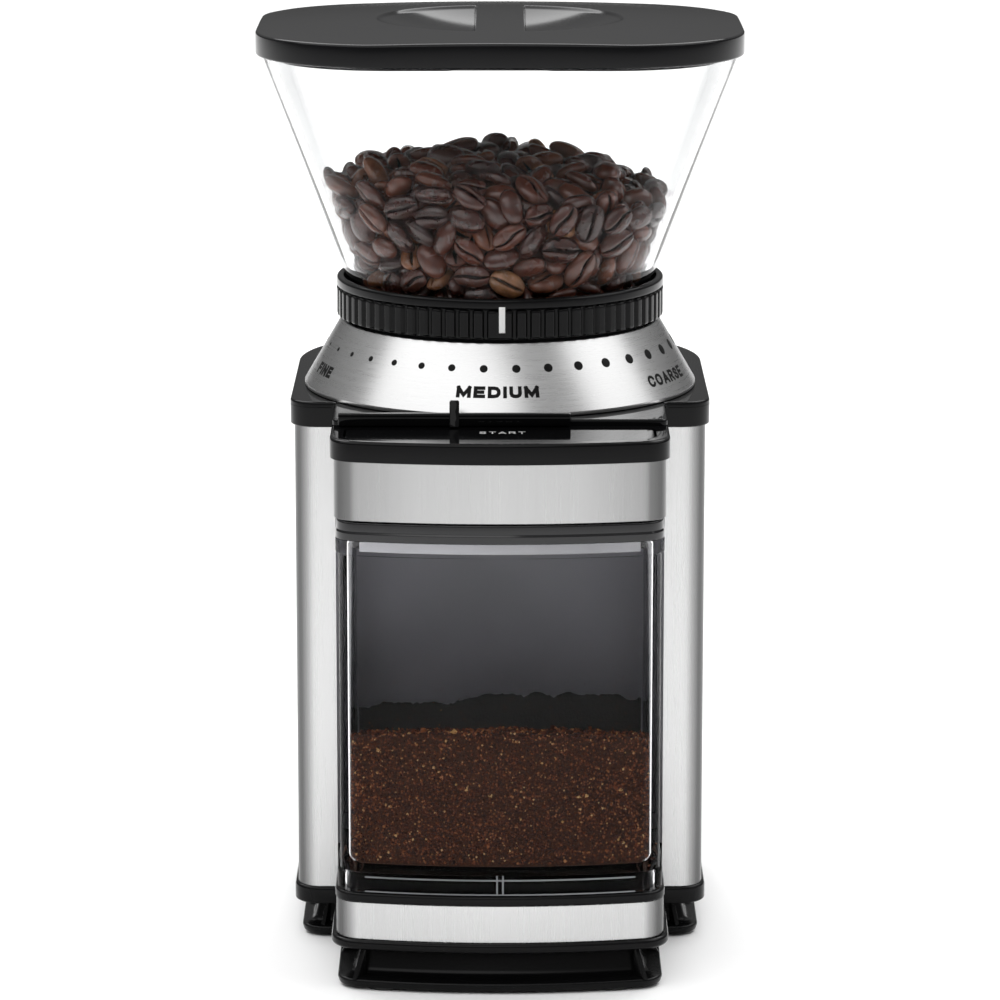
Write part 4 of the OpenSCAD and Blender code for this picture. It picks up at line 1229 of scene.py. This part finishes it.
# ------------------------------------------------------------------ chamber
def build_chamber():
    g = Geo()
    out = lambda o: plan_c(o, yb=-14.2, rback=3.0, nb=64, nc=20)
    inn = lambda o: plan_c(o, yb=-14.2 - (-o - 1.3), rback=2.0, nb=64, nc=20)
    pr = profile([
        (-3.0, 28.6), (-0.4, 28.6, 0.4), (-0.4, 34.0, 0.5), (-1.3, 34.4, 0.4), (-1.3, 127.8, 0.4), (-0.4, 128.2, 0.3), (-0.4, 132.0, 0.5),
        (-4.0, 132.0, 0.5), (-4.0, 35.9, 2.6), (-20.0, 35.9)], 5)
    rings = []
    for i, (o, z) in enumerate(pr):
        back = -14.2 + min(o + 1.3, 0.9)
        rings.append([(x, y, z) for x, y in plan_c(o, yb=back, rback=max(3.0 + o + 1.3, 0.6), nb=64, nc=20)])
    # inner floor closes here; the underside is a shallow hollow
    under = profile([(-20, 33.6), (-3.0, 33.6, 0.8), (-3.0, 28.6)], 4)
    rings_u = []
    for o, z in under:
        rings_u.append([(x, y, z) for x, y in plan_c(o, yb=-14.2 + (o + 1.3), rback=max(3.0 + o + 1.3, 0.6), nb=64, nc=20)])
    g.rings(rings, cap0=False, cap1=True)
    g.rings(rings_u[:-1] + [rings[0]], cap0=True, cap1=False)
    # moulded location rib in the middle of the lower skirt
    for s in (-1, 1):
        g.box(s * 0.85 - 0.28, s * 0.85 + 0.28, -86.98, -86.3, 28.9, 35.6, 0.12, 2)
    return g.make("grounds_chamber", M["smoked"], "chamber", "smoked_plastic", ["chamber"], angle=35)


build_chamber()


def front_strip(g, o, z0, z1, xmax, t=0.3, fil=0.1):
    """A slim bar that follows the bowed front."""
    n = 60
    R = RBOW + o
    sec = [(0, z0), (t - fil, z0), (t, z0 + fil), (t, z1 - fil), (t - fil, z1), (0, z1)]
    rings = []
    for k in range(n + 1):
        x = -xmax + 2 * xmax * k / n
        a = math.asin(x / R)
        rings.append([((R - t + q) * math.sin(a), BOWY - (R - t + q) * math.cos(a), z) for q, z in sec])
    g.rings(rings)


def build_chamber_edges():
    """Painted highlights: opaque grey strips along the chamber's front rim and lower skirt, and over the gate rib,
    stand in for the lit edges of the clear moulding.
    """
    g = Geo()
    front_strip(g, -4.12, 128.5, 131.6, 40.0, t=0.5, fil=0.2)
    g.make("rim_strip", M["rim_painted_highlight"], "chamber", "clear_plastic", angle=40)
    g = Geo()
    front_strip(g, -0.36, 33.0, 33.45, 39.0, t=0.3)
    front_strip(g, -0.36, 28.75, 29.15, 39.0, t=0.3)
    for s in (-1, 1):
        g.box(s * 0.85 - 0.22, s * 0.85 + 0.22, -86.66, -86.0, 28.8, 34.6, 0.1, 2)
    g.make("chamber_edges", M["edge_painted_highlight"], "chamber", "clear_plastic", angle=40)


# painted highlights: opaque pale and dark grey for the strips that stand in for lit edges of the clear chamber
M["rim_painted_highlight"] = plastic("rim_painted_highlight", (0.55, 0.55, 0.57), 0.1, 0.2, grain=200, bump=0.2, vary=0.3)
M["edge_painted_highlight"] = plastic("edge_painted_highlight", (0.22, 0.23, 0.24), 0.1, 0.2, grain=200, bump=0.1, vary=0.3)
build_chamber_edges()


def build_chamber_lid():
    g = Geo()
    f = lambda o: plan_c(o, yb=-14.0 + min(o + 0.5, 0.2), rback=max(3.0 + o + 0.5, 0.6), nb=64, nc=20)
    hole = [(x, y) for x, y in [(-12.5, -54.5), (12.5, -54.5), (12.5, -37.5), (-12.5, -37.5)]]
    pr = profile([(-3.6, 132.1), (-0.5, 132.1, 0.4), (-0.5, 134.3, 0.35), (-0.75, 134.9, 0.3), (-0.75, 137.8, 0.7), (-2.2, 137.8)], 5)
    g.sweep(f, pr, cap0=False, cap1=False)
    cap_hole(g, f(-2.2), hole, 137.8)
    cap_hole(g, f(-3.6), hole, 136.0, up=False)
    g.rings([[(x, y, z) for x, y in f(-3.6)] for z in (132.1, 136.0)], cap0=False, cap1=False)
    g.rings([[(x, y, 136.0) for x, y in hole], [(x, y, 137.8) for x, y in hole]], cap0=False, cap1=False)
    # spigot that drops inside the chamber's rim
    a, b = plan_c(-5.0, yb=-17.4, rback=1, nb=64, nc=20), plan_c(-6.4, yb=-19.1, rback=1, nb=64, nc=20)
    g.rings([[(x, y, 136.2) for x, y in a], [(x, y, 129.2) for x, y in a], [(x, y, 129.0) for x, y in b], [(x, y, 136.2) for x, y in b]], loop=True)
    return g.make("chamber_cover", M["smoked_lid"], "chamber", "smoked_black", ["chamber_lid"], angle=35)


build_chamber_lid()

# ------------------------------------------------------------------ coffee beans
def hop_limit(z):
    """Inside of the hopper at a height, by direction."""
    t = max(0.0, min(1.0, (z - 190.0) / 75.0))
    return [((1 - t) * 41.0 * c + t * x, (1 - t) * 41.0 * s + t * y) for (c, s), (x, y) in zip(CIRC, TOP_IN)]


def heap_top(x, y):
    """Height of the heap of beans, higher on the left than on the right."""
    r = math.hypot(x + 4, y)
    side = 0.25 if x < -4 else 0.32
    k = 0.22 + (side - 0.22) * min(1.0, abs(x + 4) / (r + 1e-6))
    return 243.2 - k * r


def core_r(z):
    return 24.0 + 0.34 * (z - 187.0) if z < 216 else 0.0


def bean_starts():
    rnd = random.Random(11)
    out = []
    k = 0.70
    layer = 0
    z = 191.0
    while z < 262:
        zf = 187 + (z - 187) * k
        lim = hop_limit(min(z, 262))
        off = (layer % 2) * 4.7
        for i in range(-8, 9):
            for j in range(-8, 9):
                x = i * 9.5 + (j % 2) * 4.75 + off * 0.6
                y = j * 8.3 + off
                a = int(round(math.degrees(math.atan2(y, x)) % 360 / 360 * NH)) % NH
                if math.hypot(x, y) > math.hypot(*lim[a]) - 6.2:
                    continue
                if zf > heap_top(x, y) or math.hypot(x, y) < (core_r(z) + 3.2 if core_r(z) > 0 else 0):
                    continue
                out.append((x + rnd.uniform(-0.6, 0.6), y + rnd.uniform(-0.6, 0.6), z + rnd.uniform(-0.4, 0.4),
                            rnd.uniform(0, 6.28), rnd.uniform(0, 6.28), rnd.uniform(0, 6.28), rnd.uniform(0.86, 1.1)))
        z += 7.3
        layer += 1
    return out


def settle(starts):
    """Drops the beans into the hopper with rigid bodies and gives back where they come to rest."""
    U = 0.01
    bpy.ops.rigidbody.world_add()
    rw = scene.rigidbody_world
    rw.substeps_per_frame = 5
    rw.solver_iterations = 10
    scene.gravity = (0, 0, -9.81)
    made = []

    def passive(name, rings, flip):
        n = len(rings[0])
        v = [(x * U, y * U, (z - 186) * U) for r in rings for x, y, z in r]
        f = []
        for i in range(len(rings) - 1):
            for q in range(n):
                face = (i * n + q, i * n + (q + 1) % n, (i + 1) * n + (q + 1) % n, (i + 1) * n + q)
                f.append(face[::-1] if flip else face)
        me = bpy.data.meshes.new(name)
        me.from_pydata(v, [], f)
        o = bpy.data.objects.new(name, me)
        scene.collection.objects.link(o)
        made.append(o)
        bpy.context.view_layer.objects.active = o
        bpy.ops.rigidbody.object_add(type="PASSIVE")
        o.rigid_body.collision_shape = "MESH"
        o.rigid_body.friction = 0.5
        o.rigid_body.restitution = 0.0
        o.rigid_body.use_margin = True
        o.rigid_body.collision_margin = 0.003
        return o

    pick = range(0, NH, 4)
    wall = [[(0.01 * CIRC[q][0], 0.01 * CIRC[q][1], 186.9) for q in pick], [(40.7 * CIRC[q][0], 40.7 * CIRC[q][1], 186.9) for q in pick]]
    for z in (190, 215, 240, 264):
        lim = hop_limit(z)
        wall.append([(lim[q][0] * 0.992, lim[q][1] * 0.992, z) for q in pick])
    lim = hop_limit(264)
    wall.append([(lim[q][0] * 0.992, lim[q][1] * 0.992, 300) for q in pick])
    passive("tmp_wall", wall, True)
    core = [[(core_r(187) * CIRC[q][0], core_r(187) * CIRC[q][1], 186.0) for q in pick]]
    core += [[(core_r(z) * CIRC[q][0], core_r(z) * CIRC[q][1], z) for q in pick] for z in (187, 200, 213)]
    core += [[(26 * CIRC[q][0], 26 * CIRC[q][1], 216.5) for q in pick], [(0.01 * CIRC[q][0], 0.01 * CIRC[q][1], 219.0) for q in pick]]
    passive("tmp_core", core, False)

    bm = bmesh.new()
    for i in range(0, 6):
        th = math.pi * i / 5
        m = 1 if i in (0, 5) else 8
        for q in range(m):
            ph = 2 * math.pi * (q + 0.5 * (i % 2)) / 8
            zz = math.sin(ph)
            bm.verts.new((5.7 * math.cos(th) * U, 4.0 * math.sin(th) * math.cos(ph) * U, (2.9 if zz > 0 else 1.9) * math.sin(th) * zz * U))
    bmesh.ops.convex_hull(bm, input=bm.verts)
    hull = bpy.data.meshes.new("tmp_hull")
    bm.to_mesh(hull)
    bm.free()
    objs = []
    for i, (x, y, z, a, b, c, sc) in enumerate(starts):
        o = bpy.data.objects.new("tmp_b%d" % i, hull)
        scene.collection.objects.link(o)
        o.location = (x * U, y * U, (z - 186) * U)
        o.rotation_euler = (a, b, c)
        o.scale = (sc, sc, sc)
        objs.append(o)
    for o in bpy.data.objects:
        o.select_set(False)
    for o in objs:
        o.select_set(True)
    bpy.context.view_layer.objects.active = objs[0]
    bpy.ops.rigidbody.objects_add(type="ACTIVE")
    for o in objs:
        rb = o.rigid_body
        rb.collision_shape = "CONVEX_HULL"
        rb.friction = 0.7
        rb.restitution = 0.0
        rb.mass = 0.01
        rb.linear_damping = 0.1
        rb.angular_damping = 0.35
        rb.use_margin = True
        rb.collision_margin = 0.001
    end = 66
    rw.point_cache.frame_start = 1
    rw.point_cache.frame_end = end + 1
    scene.frame_end = end + 1
    for fr in range(1, end + 1):
        scene.frame_set(fr)
    res = []
    for o, st in zip(objs, starts):
        m = o.matrix_world.copy()
        t = m.translation / U
        res.append((Vector((t.x, t.y, t.z + 186)), m.to_quaternion(), st[6]))
    bpy.ops.rigidbody.world_remove()
    for o in objs + made:
        bpy.data.objects.remove(o)
    bpy.data.meshes.remove(hull)
    scene.frame_set(1)
    return res


def bean_mesh(nu=17, crease=1.0, bend=0.0):
    """One bean: domed back, flatter belly with a wavy crease along it."""
    belly = [-3.35, -2.3, -1.45, -0.85, -0.5, -0.24, 0.0, 0.24, 0.5, 0.85, 1.45, 2.3, 3.35]
    sect = [(4.0 * math.cos(a), 2.95 * math.sin(a) ** 0.92, 0.0) for a in [math.pi * k / 8 for k in range(1, 8)]]
    sect = [(4.0, 0.0, 0.0)] + sect + [(-4.0, 0.0, 0.0)]
    for y in belly:
        sect.append((y, -1.75 * (1 - (abs(y) / 4.0) ** 2.6) ** 0.6, 1.0))
    nv = len(sect)
    v, c = [(5.7, 0.0, -0.1)], [0.0]
    for i in range(1, nu):
        t = math.pi * i / nu
        x = 5.7 * math.cos(t)
        w = math.sin(t) ** 0.84
        for y, z, under in sect:
            k = 0.0
            yy = y * w
            zz = z * w
            if under:
                k = math.exp(-(y / 0.42) ** 2) * min(1.0, w * 1.25)
                lip = math.exp(-((abs(y) - 1.0) / 0.5) ** 2) * w
                zz += crease * 1.5 * k - 0.22 * lip
                yy += bend * math.sin(x * 0.6) * (1 - (abs(y) / 4.0) ** 2)
            v.append((x, yy, zz))
            c.append(k)
    v.append((-5.7, 0.0, -0.1))
    c.append(0.0)
    f = [(0, 1 + j, 1 + (j + 1) % nv) for j in range(nv)]
    for i in range(nu - 2):
        a, b = 1 + i * nv, 1 + (i + 1) * nv
        for j in range(nv):
            f.append((a + j, b + j, b + (j + 1) % nv, a + (j + 1) % nv))
    last = len(v) - 1
    a = 1 + (nu - 2) * nv
    f += [(last, a + (j + 1) % nv, a + j) for j in range(nv)]
    return v, f, c


def build_beans():
    starts = bean_starts()
    rest = settle(starts)
    rnd = random.Random(5)
    kinds = [bean_mesh(bend=b, crease=c) for b, c in ((0.1, 1.0), (0.5, 1.1), (-0.5, 0.9), (0.3, 1.2), (-0.3, 1.0))]
    V, F, C = [], [], []
    base = 0
    kept = 0
    for p, q, sc in rest:
        if p.z < 186 or p.z > 262 or math.hypot(p.x, p.y) > 66:
            continue
        kv, kf, kc = kinds[rnd.randrange(5)]
        C += kc
        arr = np.array(kv) * np.array([sc * rnd.uniform(0.93, 1.02), sc * rnd.uniform(0.93, 1.0), sc * rnd.uniform(0.95, 1.0)])
        R = np.array(q.to_matrix())
        arr = arr @ R.T + np.array(p)
        V.append(arr)
        F += [tuple(i + base for i in ff) for ff in kf]
        base += len(kv)
        kept += 1
    print("beans", kept, "top", round(max(float(a[:, 2].max()) for a in V), 1))
    g = Geo()
    g.v = [tuple(map(float, r)) for a in V for r in a]
    g.f = F
    o = g.make("coffee_beans", M["bean"], "hopper", angle=180, normals=False)
    # per-vertex crease mask, used by the bean material for painted shade along the crease
    at = o.data.attributes.new("crease", "FLOAT", "POINT")
    at.data.foreach_set("value", C)
    return o


def bean_material():
    a = Mat("bean")
    geo = a.n("ShaderNodeNewGeometry")
    v = a.coords()
    isl = a.ramp(geo.outputs["Random Per Island"], [(0.0, (0.026, 0.0062, 0.0042)), (0.35, (0.056, 0.0132, 0.0078)), (0.78, (0.1, 0.0265, 0.014)), (0.95, (0.14, 0.042, 0.019)), (1.0, (0.26, 0.115, 0.048))])
    mott = a.ramp(a.noise(v, 420, 5, 0.65), [(0.3, 0.62), (0.7, 1.3)])
    mul = a.n("ShaderNodeMix", data_type="RGBA", blend_type="MULTIPLY")
    mul.inputs[0].default_value = 1.0
    a.link(isl, mul.inputs[6]); a.link(mott, mul.inputs[7])
    # painted shade: the crease attribute darkens the base colour to a quarter along each bean's crease
    at = a.n("ShaderNodeAttribute")
    at.attribute_name = "crease"
    painted_crease_shade = a.ramp(at.outputs["Fac"], [(0.1, 1.0), (0.6, 0.25)])
    mul2 = a.n("ShaderNodeMix", data_type="RGBA", blend_type="MULTIPLY")
    mul2.inputs[0].default_value = 1.0
    a.link(mul.outputs[2], mul2.inputs[6]); a.link(painted_crease_shade, mul2.inputs[7])
    a.link(mul2.outputs[2], a.b.inputs["Base Color"])
    a.link(a.ramp(a.noise(v, 300, 4, 0.6), [(0.3, 0.17), (0.7, 0.3)]), a.b.inputs["Roughness"])
    a.link(a.bump(a.noise(v, 700, 5, 0.6), 0.35, 0.0003), a.b.inputs["Normal"])
    a.set(Specular_IOR_Level=0.6)
    return a.m


M["bean"] = bean_material()
build_beans()


# ------------------------------------------------------------------ ground coffee
GZ0, GZ1 = 36.05, 75.6


def grounds_top(x, y):
    n = noise.noise(Vector((x * 0.09, y * 0.09, 1.3))) * 1.3 + noise.noise(Vector((x * 0.35, y * 0.35, 4.1))) * 0.45
    return GZ1 + n - 0.25 * (y + 82) - 0.0006 * (x + 6) ** 2


def grounds_material(name, stops):
    a = Mat(name)
    geo = a.n("ShaderNodeNewGeometry")
    v = a.coords()
    f = a.noise(v, 1100, 4, 0.7)
    if name == "grains":
        col = a.ramp(geo.outputs["Random Per Island"], stops)
    else:
        col = a.ramp(f, stops)
    a.link(col, a.b.inputs["Base Color"])
    a.link(a.ramp(f, [(0.3, 0.7), (0.7, 0.9)]), a.b.inputs["Roughness"])
    a.link(a.bump(f, 0.8, 0.0006), a.b.inputs["Normal"])
    a.set(Specular_IOR_Level=0.25)
    return a.m


M["grounds"] = grounds_material("grounds", [(0.30, (0.012, 0.0038, 0.0018)), (0.5, (0.04, 0.0125, 0.0052)), (0.72, (0.1, 0.034, 0.0135))])
M["grains"] = grounds_material("grains", [(0.0, (0.014, 0.0038, 0.002)), (0.35, (0.045, 0.0118, 0.005)), (0.7, (0.12, 0.033, 0.013)),
                                          (0.92, (0.24, 0.074, 0.028)), (0.978, (0.4, 0.16, 0.06)), (1.0, (0.66, 0.4, 0.17))])


M["husk"] = grounds_material("husk", [(0.3, (0.3, 0.13, 0.04)), (0.5, (0.5, 0.27, 0.1)), (0.7, (0.68, 0.45, 0.2))])
# dark grey for the film on the chamber's rear wall above the bed
M["dark_wall_film"] = grounds_material("dark_wall_film", [(0.3, (0.03, 0.03, 0.029)), (0.5, (0.042, 0.041, 0.04)), (0.7, (0.055, 0.052, 0.05))])


def build_grounds():
    inset = -4.22
    plan = [(x, y) for x, y in plan_c(inset, yb=-17.2, rback=1.5, nb=90, nc=16)]
    # a body with a lumpy top
    g = Geo()
    rings = []
    for i in range(16):
        sc = 0.982 if i else 0.97
        t = 0.0 if i == 0 else 0.01 + 0.94 * (i - 1) / 14
        ring = []
        for x, y in plan:
            X, Y = x * sc, -50 + (y + 50) * sc
            ring.append((X, Y, GZ0 + (grounds_top(X, Y) - 0.5 - GZ0) * t))
        rings.append(ring)
    top = []
    for q in range(0, 25):
        t = q / 24
        k = 0.982 * (1 - t)
        ring = []
        for x, y in plan:
            X, Y = x * k, -50 + (y + 50) * k
            ring.append((X, Y, grounds_top(X, Y) - (0.5 if q == 0 else 0)))
        top.append(ring)
    rings += top[:-1]
    g.rings(rings, cap0=True, cap1=True)
    g.make("grounds_bed", M["grounds"], "chamber", angle=60)
    # loose grains over the front, the sides and the top
    rnd = random.Random(9)
    g = Geo()
    octa = [(1, 0, 0), (-1, 0, 0), (0, 1, 0), (0, -1, 0), (0, 0, 1), (0, 0, -1)]
    faces = [(0, 2, 4), (2, 1, 4), (1, 3, 4), (3, 0, 4), (2, 0, 5), (1, 2, 5), (3, 1, 5), (0, 3, 5)]

    def grain(x, y, z, r, flat=1.0):
        e = Matrix.Rotation(rnd.uniform(0, 6.28), 3, "Z") @ Matrix.Rotation(rnd.uniform(0, 6.28), 3, "X")
        vs = []
        for o in octa:
            p = Vector(o) * r * rnd.uniform(0.65, 1.15)
            p = e @ p
            vs.append((x + p.x, y + p.y * flat, z + p.z))
        g.add(vs, faces)

    front = [p for p in plan if p[1] < -60]
    n_front = 9500
    seg = [math.dist(front[i], front[i + 1]) for i in range(len(front) - 1)]
    cum = np.cumsum([0] + seg)
    for i in range(n_front):
        s = rnd.uniform(0, cum[-1] - 1e-3)
        k = int(np.searchsorted(cum, s, side="right") - 1)
        t = (s - cum[k]) / seg[k]
        x = front[k][0] + (front[k + 1][0] - front[k][0]) * t
        y = front[k][1] + (front[k + 1][1] - front[k][1]) * t
        nx, ny = -(x - 0) / 190.0, -(y - BOWY) / 190.0
        r = 0.24 + 0.32 * rnd.random() ** 2.2
        if rnd.random() < 0.007:
            r = rnd.uniform(0.7, 1.2)
        z = rnd.uniform(GZ0 + 0.9, grounds_top(x, y))
        if abs(x) > 39.5:
            nx, ny = (-1 if x > 0 else 1) * 0.8, 0.6
        d = r * 0.85 + 0.04 + 0.25 * rnd.random() * (r < 0.6)
        grain(x + nx * d, y + ny * d, z, r, 0.8)
    for side in (-1, 1):
        for i in range(1300):
            y = rnd.uniform(-74, -18)
            r = 0.22 + 0.35 * rnd.random() ** 2
            grain(side * (43.25 - r * 0.75), y, rnd.uniform(GZ0 + 0.9, grounds_top(43, y)), r)
    for i in range(3000):
        x, y = rnd.uniform(-42.3, 42.3), rnd.uniform(-81.6, -18.2)
        lim = BOWY - math.sqrt((RBOW - 5.4) ** 2 - x * x)
        if y < lim + 0.5 or (abs(x) > 38.5 and y < -74):
            continue
        r = 0.25 + 0.5 * rnd.random() ** 2
        if rnd.random() < 0.02:
            r = rnd.uniform(0.8, 1.4)
        grain(x, y, grounds_top(x, y) + r * 0.25, r)
    # dust that clings to the wall over the bed
    for i in range(420):
        x = rnd.uniform(-40, 40)
        R = RBOW - 4.12
        y = BOWY - math.sqrt(R * R - x * x)
        z = GZ1 + 0.6 + 16 * rnd.random() ** 2.6
        r = rnd.uniform(0.09, 0.2)
        if abs(x) < 38.5:
            grain(x, y + r + 0.02, z, r)
    g.make("ground_coffee", M["grains"], "chamber", angle=20, normals=False)
    # a few pale flakes of husk
    g = Geo()
    for x, z, r in ((-13.0, 76.2, 1.25), (-15.5, 73.6, 0.8), (-12.4, 60.6, 1.3), (-9.5, 59.0, 0.8), (-2.6, 57.4, 0.95), (22.5, 56.6, 1.1),
                    (25.0, 56.9, 0.9), (34.6, 58.2, 0.85), (34.2, 43.4, 1.3), (35.6, 42.4, 0.8), (-30.0, 45.0, 0.8), (12.0, 67.0, 0.6),
                    (-35.0, 70.0, 0.7), (30.0, 71.0, 0.6), (5.0, 48.0, 0.55), (-22.0, 66.0, 0.6), (18.0, 49.5, 0.5)):
        y = BOWY - math.sqrt((RBOW - 4.3) ** 2 - x * x) + r * 0.8
        grain(x, y, min(z, grounds_top(x, y) + 0.6), r, 0.7)
    g.make("husk_flakes", M["husk"], "chamber", angle=20, normals=False)
    # a dark grey film on the rear wall of the chamber, above the bed, up to a wavy top edge
    g = Geo()
    n = 120
    xs = [-42.4 + 84.8 * k / n for k in range(n + 1)]

    def film_top(x):
        e = 70.4 - 2.6 * sstep((-x - 4) / 10) + 1.3 * noise.noise(Vector((x * 0.22, 2.0, 5.0))) + 0.7 * noise.noise(Vector((x * 0.9, 7.0, 1.0)))
        return e - 1.6 * sstep((abs(x) - 34) / 7)

    y0, y1 = -17.34, -17.22
    g.rings([[(x, y0, 56.0), (x, y1, 56.0), (x, y1, film_top(x)), (x, y0, film_top(x))] for x in xs])
    g.make("rear_wall_film", M["dark_wall_film"], "chamber", angle=20, normals=False)


build_grounds()

# ------------------------------------------------------------------ stage and light
def stage():
    me = bpy.data.meshes.new("pale_floor")
    me.from_pydata([(-9, -7, 0), (9, -7, 0), (9, 11, 0), (-9, 11, 0)], [], [(0, 1, 2, 3)])
    a = Mat("paper")
    v = a.coords()
    a.link(a.ramp(a.noise(v, 3, 2), [(0.3, 0.88), (0.7, 0.9)]), a.b.inputs["Base Color"])
    a.set(Roughness=0.85, Specular_IOR_Level=0.15)
    me.materials.append(a.m)
    o = bpy.data.objects.new("pale_floor", me)
    scene.collection.objects.link(o)


stage()


def panel(name, az, el, dist, w, h, radiance, color=(1, 1, 1)):
    """A softbox seen from the object at a compass direction (0 is the front, + is to the right) and elevation."""
    l = bpy.data.lights.new(name, "AREA")
    l.shape = "RECTANGLE"
    l.size, l.size_y = w, h
    l.energy = radiance * w * h * math.pi
    l.color = color
    o = bpy.data.objects.new(name, l)
    scene.collection.objects.link(o)
    a, e = math.radians(az), math.radians(el)
    o.location = (dist * math.sin(a) * math.cos(e), -dist * math.cos(a) * math.cos(e), 0.17 + dist * math.sin(e))
    d = Vector((0, 0, 0.17)) - o.location
    o.rotation_euler = d.to_track_quat("-Z", "Y").to_euler()
    return o


def world():
    w = bpy.data.worlds.new("studio")
    scene.world = w
    w.use_nodes = True
    t = w.node_tree
    bg = t.nodes["Background"]
    tc = t.nodes.new("ShaderNodeTexCoord")
    sep = t.nodes.new("ShaderNodeSeparateXYZ")
    rp = t.nodes.new("ShaderNodeValToRGB")
    t.links.new(tc.outputs["Generated"], sep.inputs["Vector"])
    t.links.new(sep.outputs["Z"], rp.inputs["Fac"])
    els = rp.color_ramp.elements
    while len(els) < 4:
        els.new(0.5)
    for e, (p, c) in zip(els, [(0.0, 0.08), (0.2, 0.2), (0.5, 0.42), (0.9, 0.5)]):
        e.position = p
        e.color = (c, c, c, 1)
    t.links.new(rp.outputs["Color"], bg.inputs["Color"])
    bg.inputs["Strength"].default_value = 1.0


world()
panel("key", -43, 46, 1.25, 2.1, 0.8, 1.45)
panel("rim_right", 84, 38, 1.25, 0.85, 0.8, 1.4)
panel("overhead", 180, 67, 6.0, 10.0, 6.6, 2.4)
panel("rear", 180, 55, 1.8, 2.2, 1.0, 2.2)
scene.view_settings.view_transform = "Standard"
scene.view_settings.look = "None"
scene.view_settings.exposure = 0.0
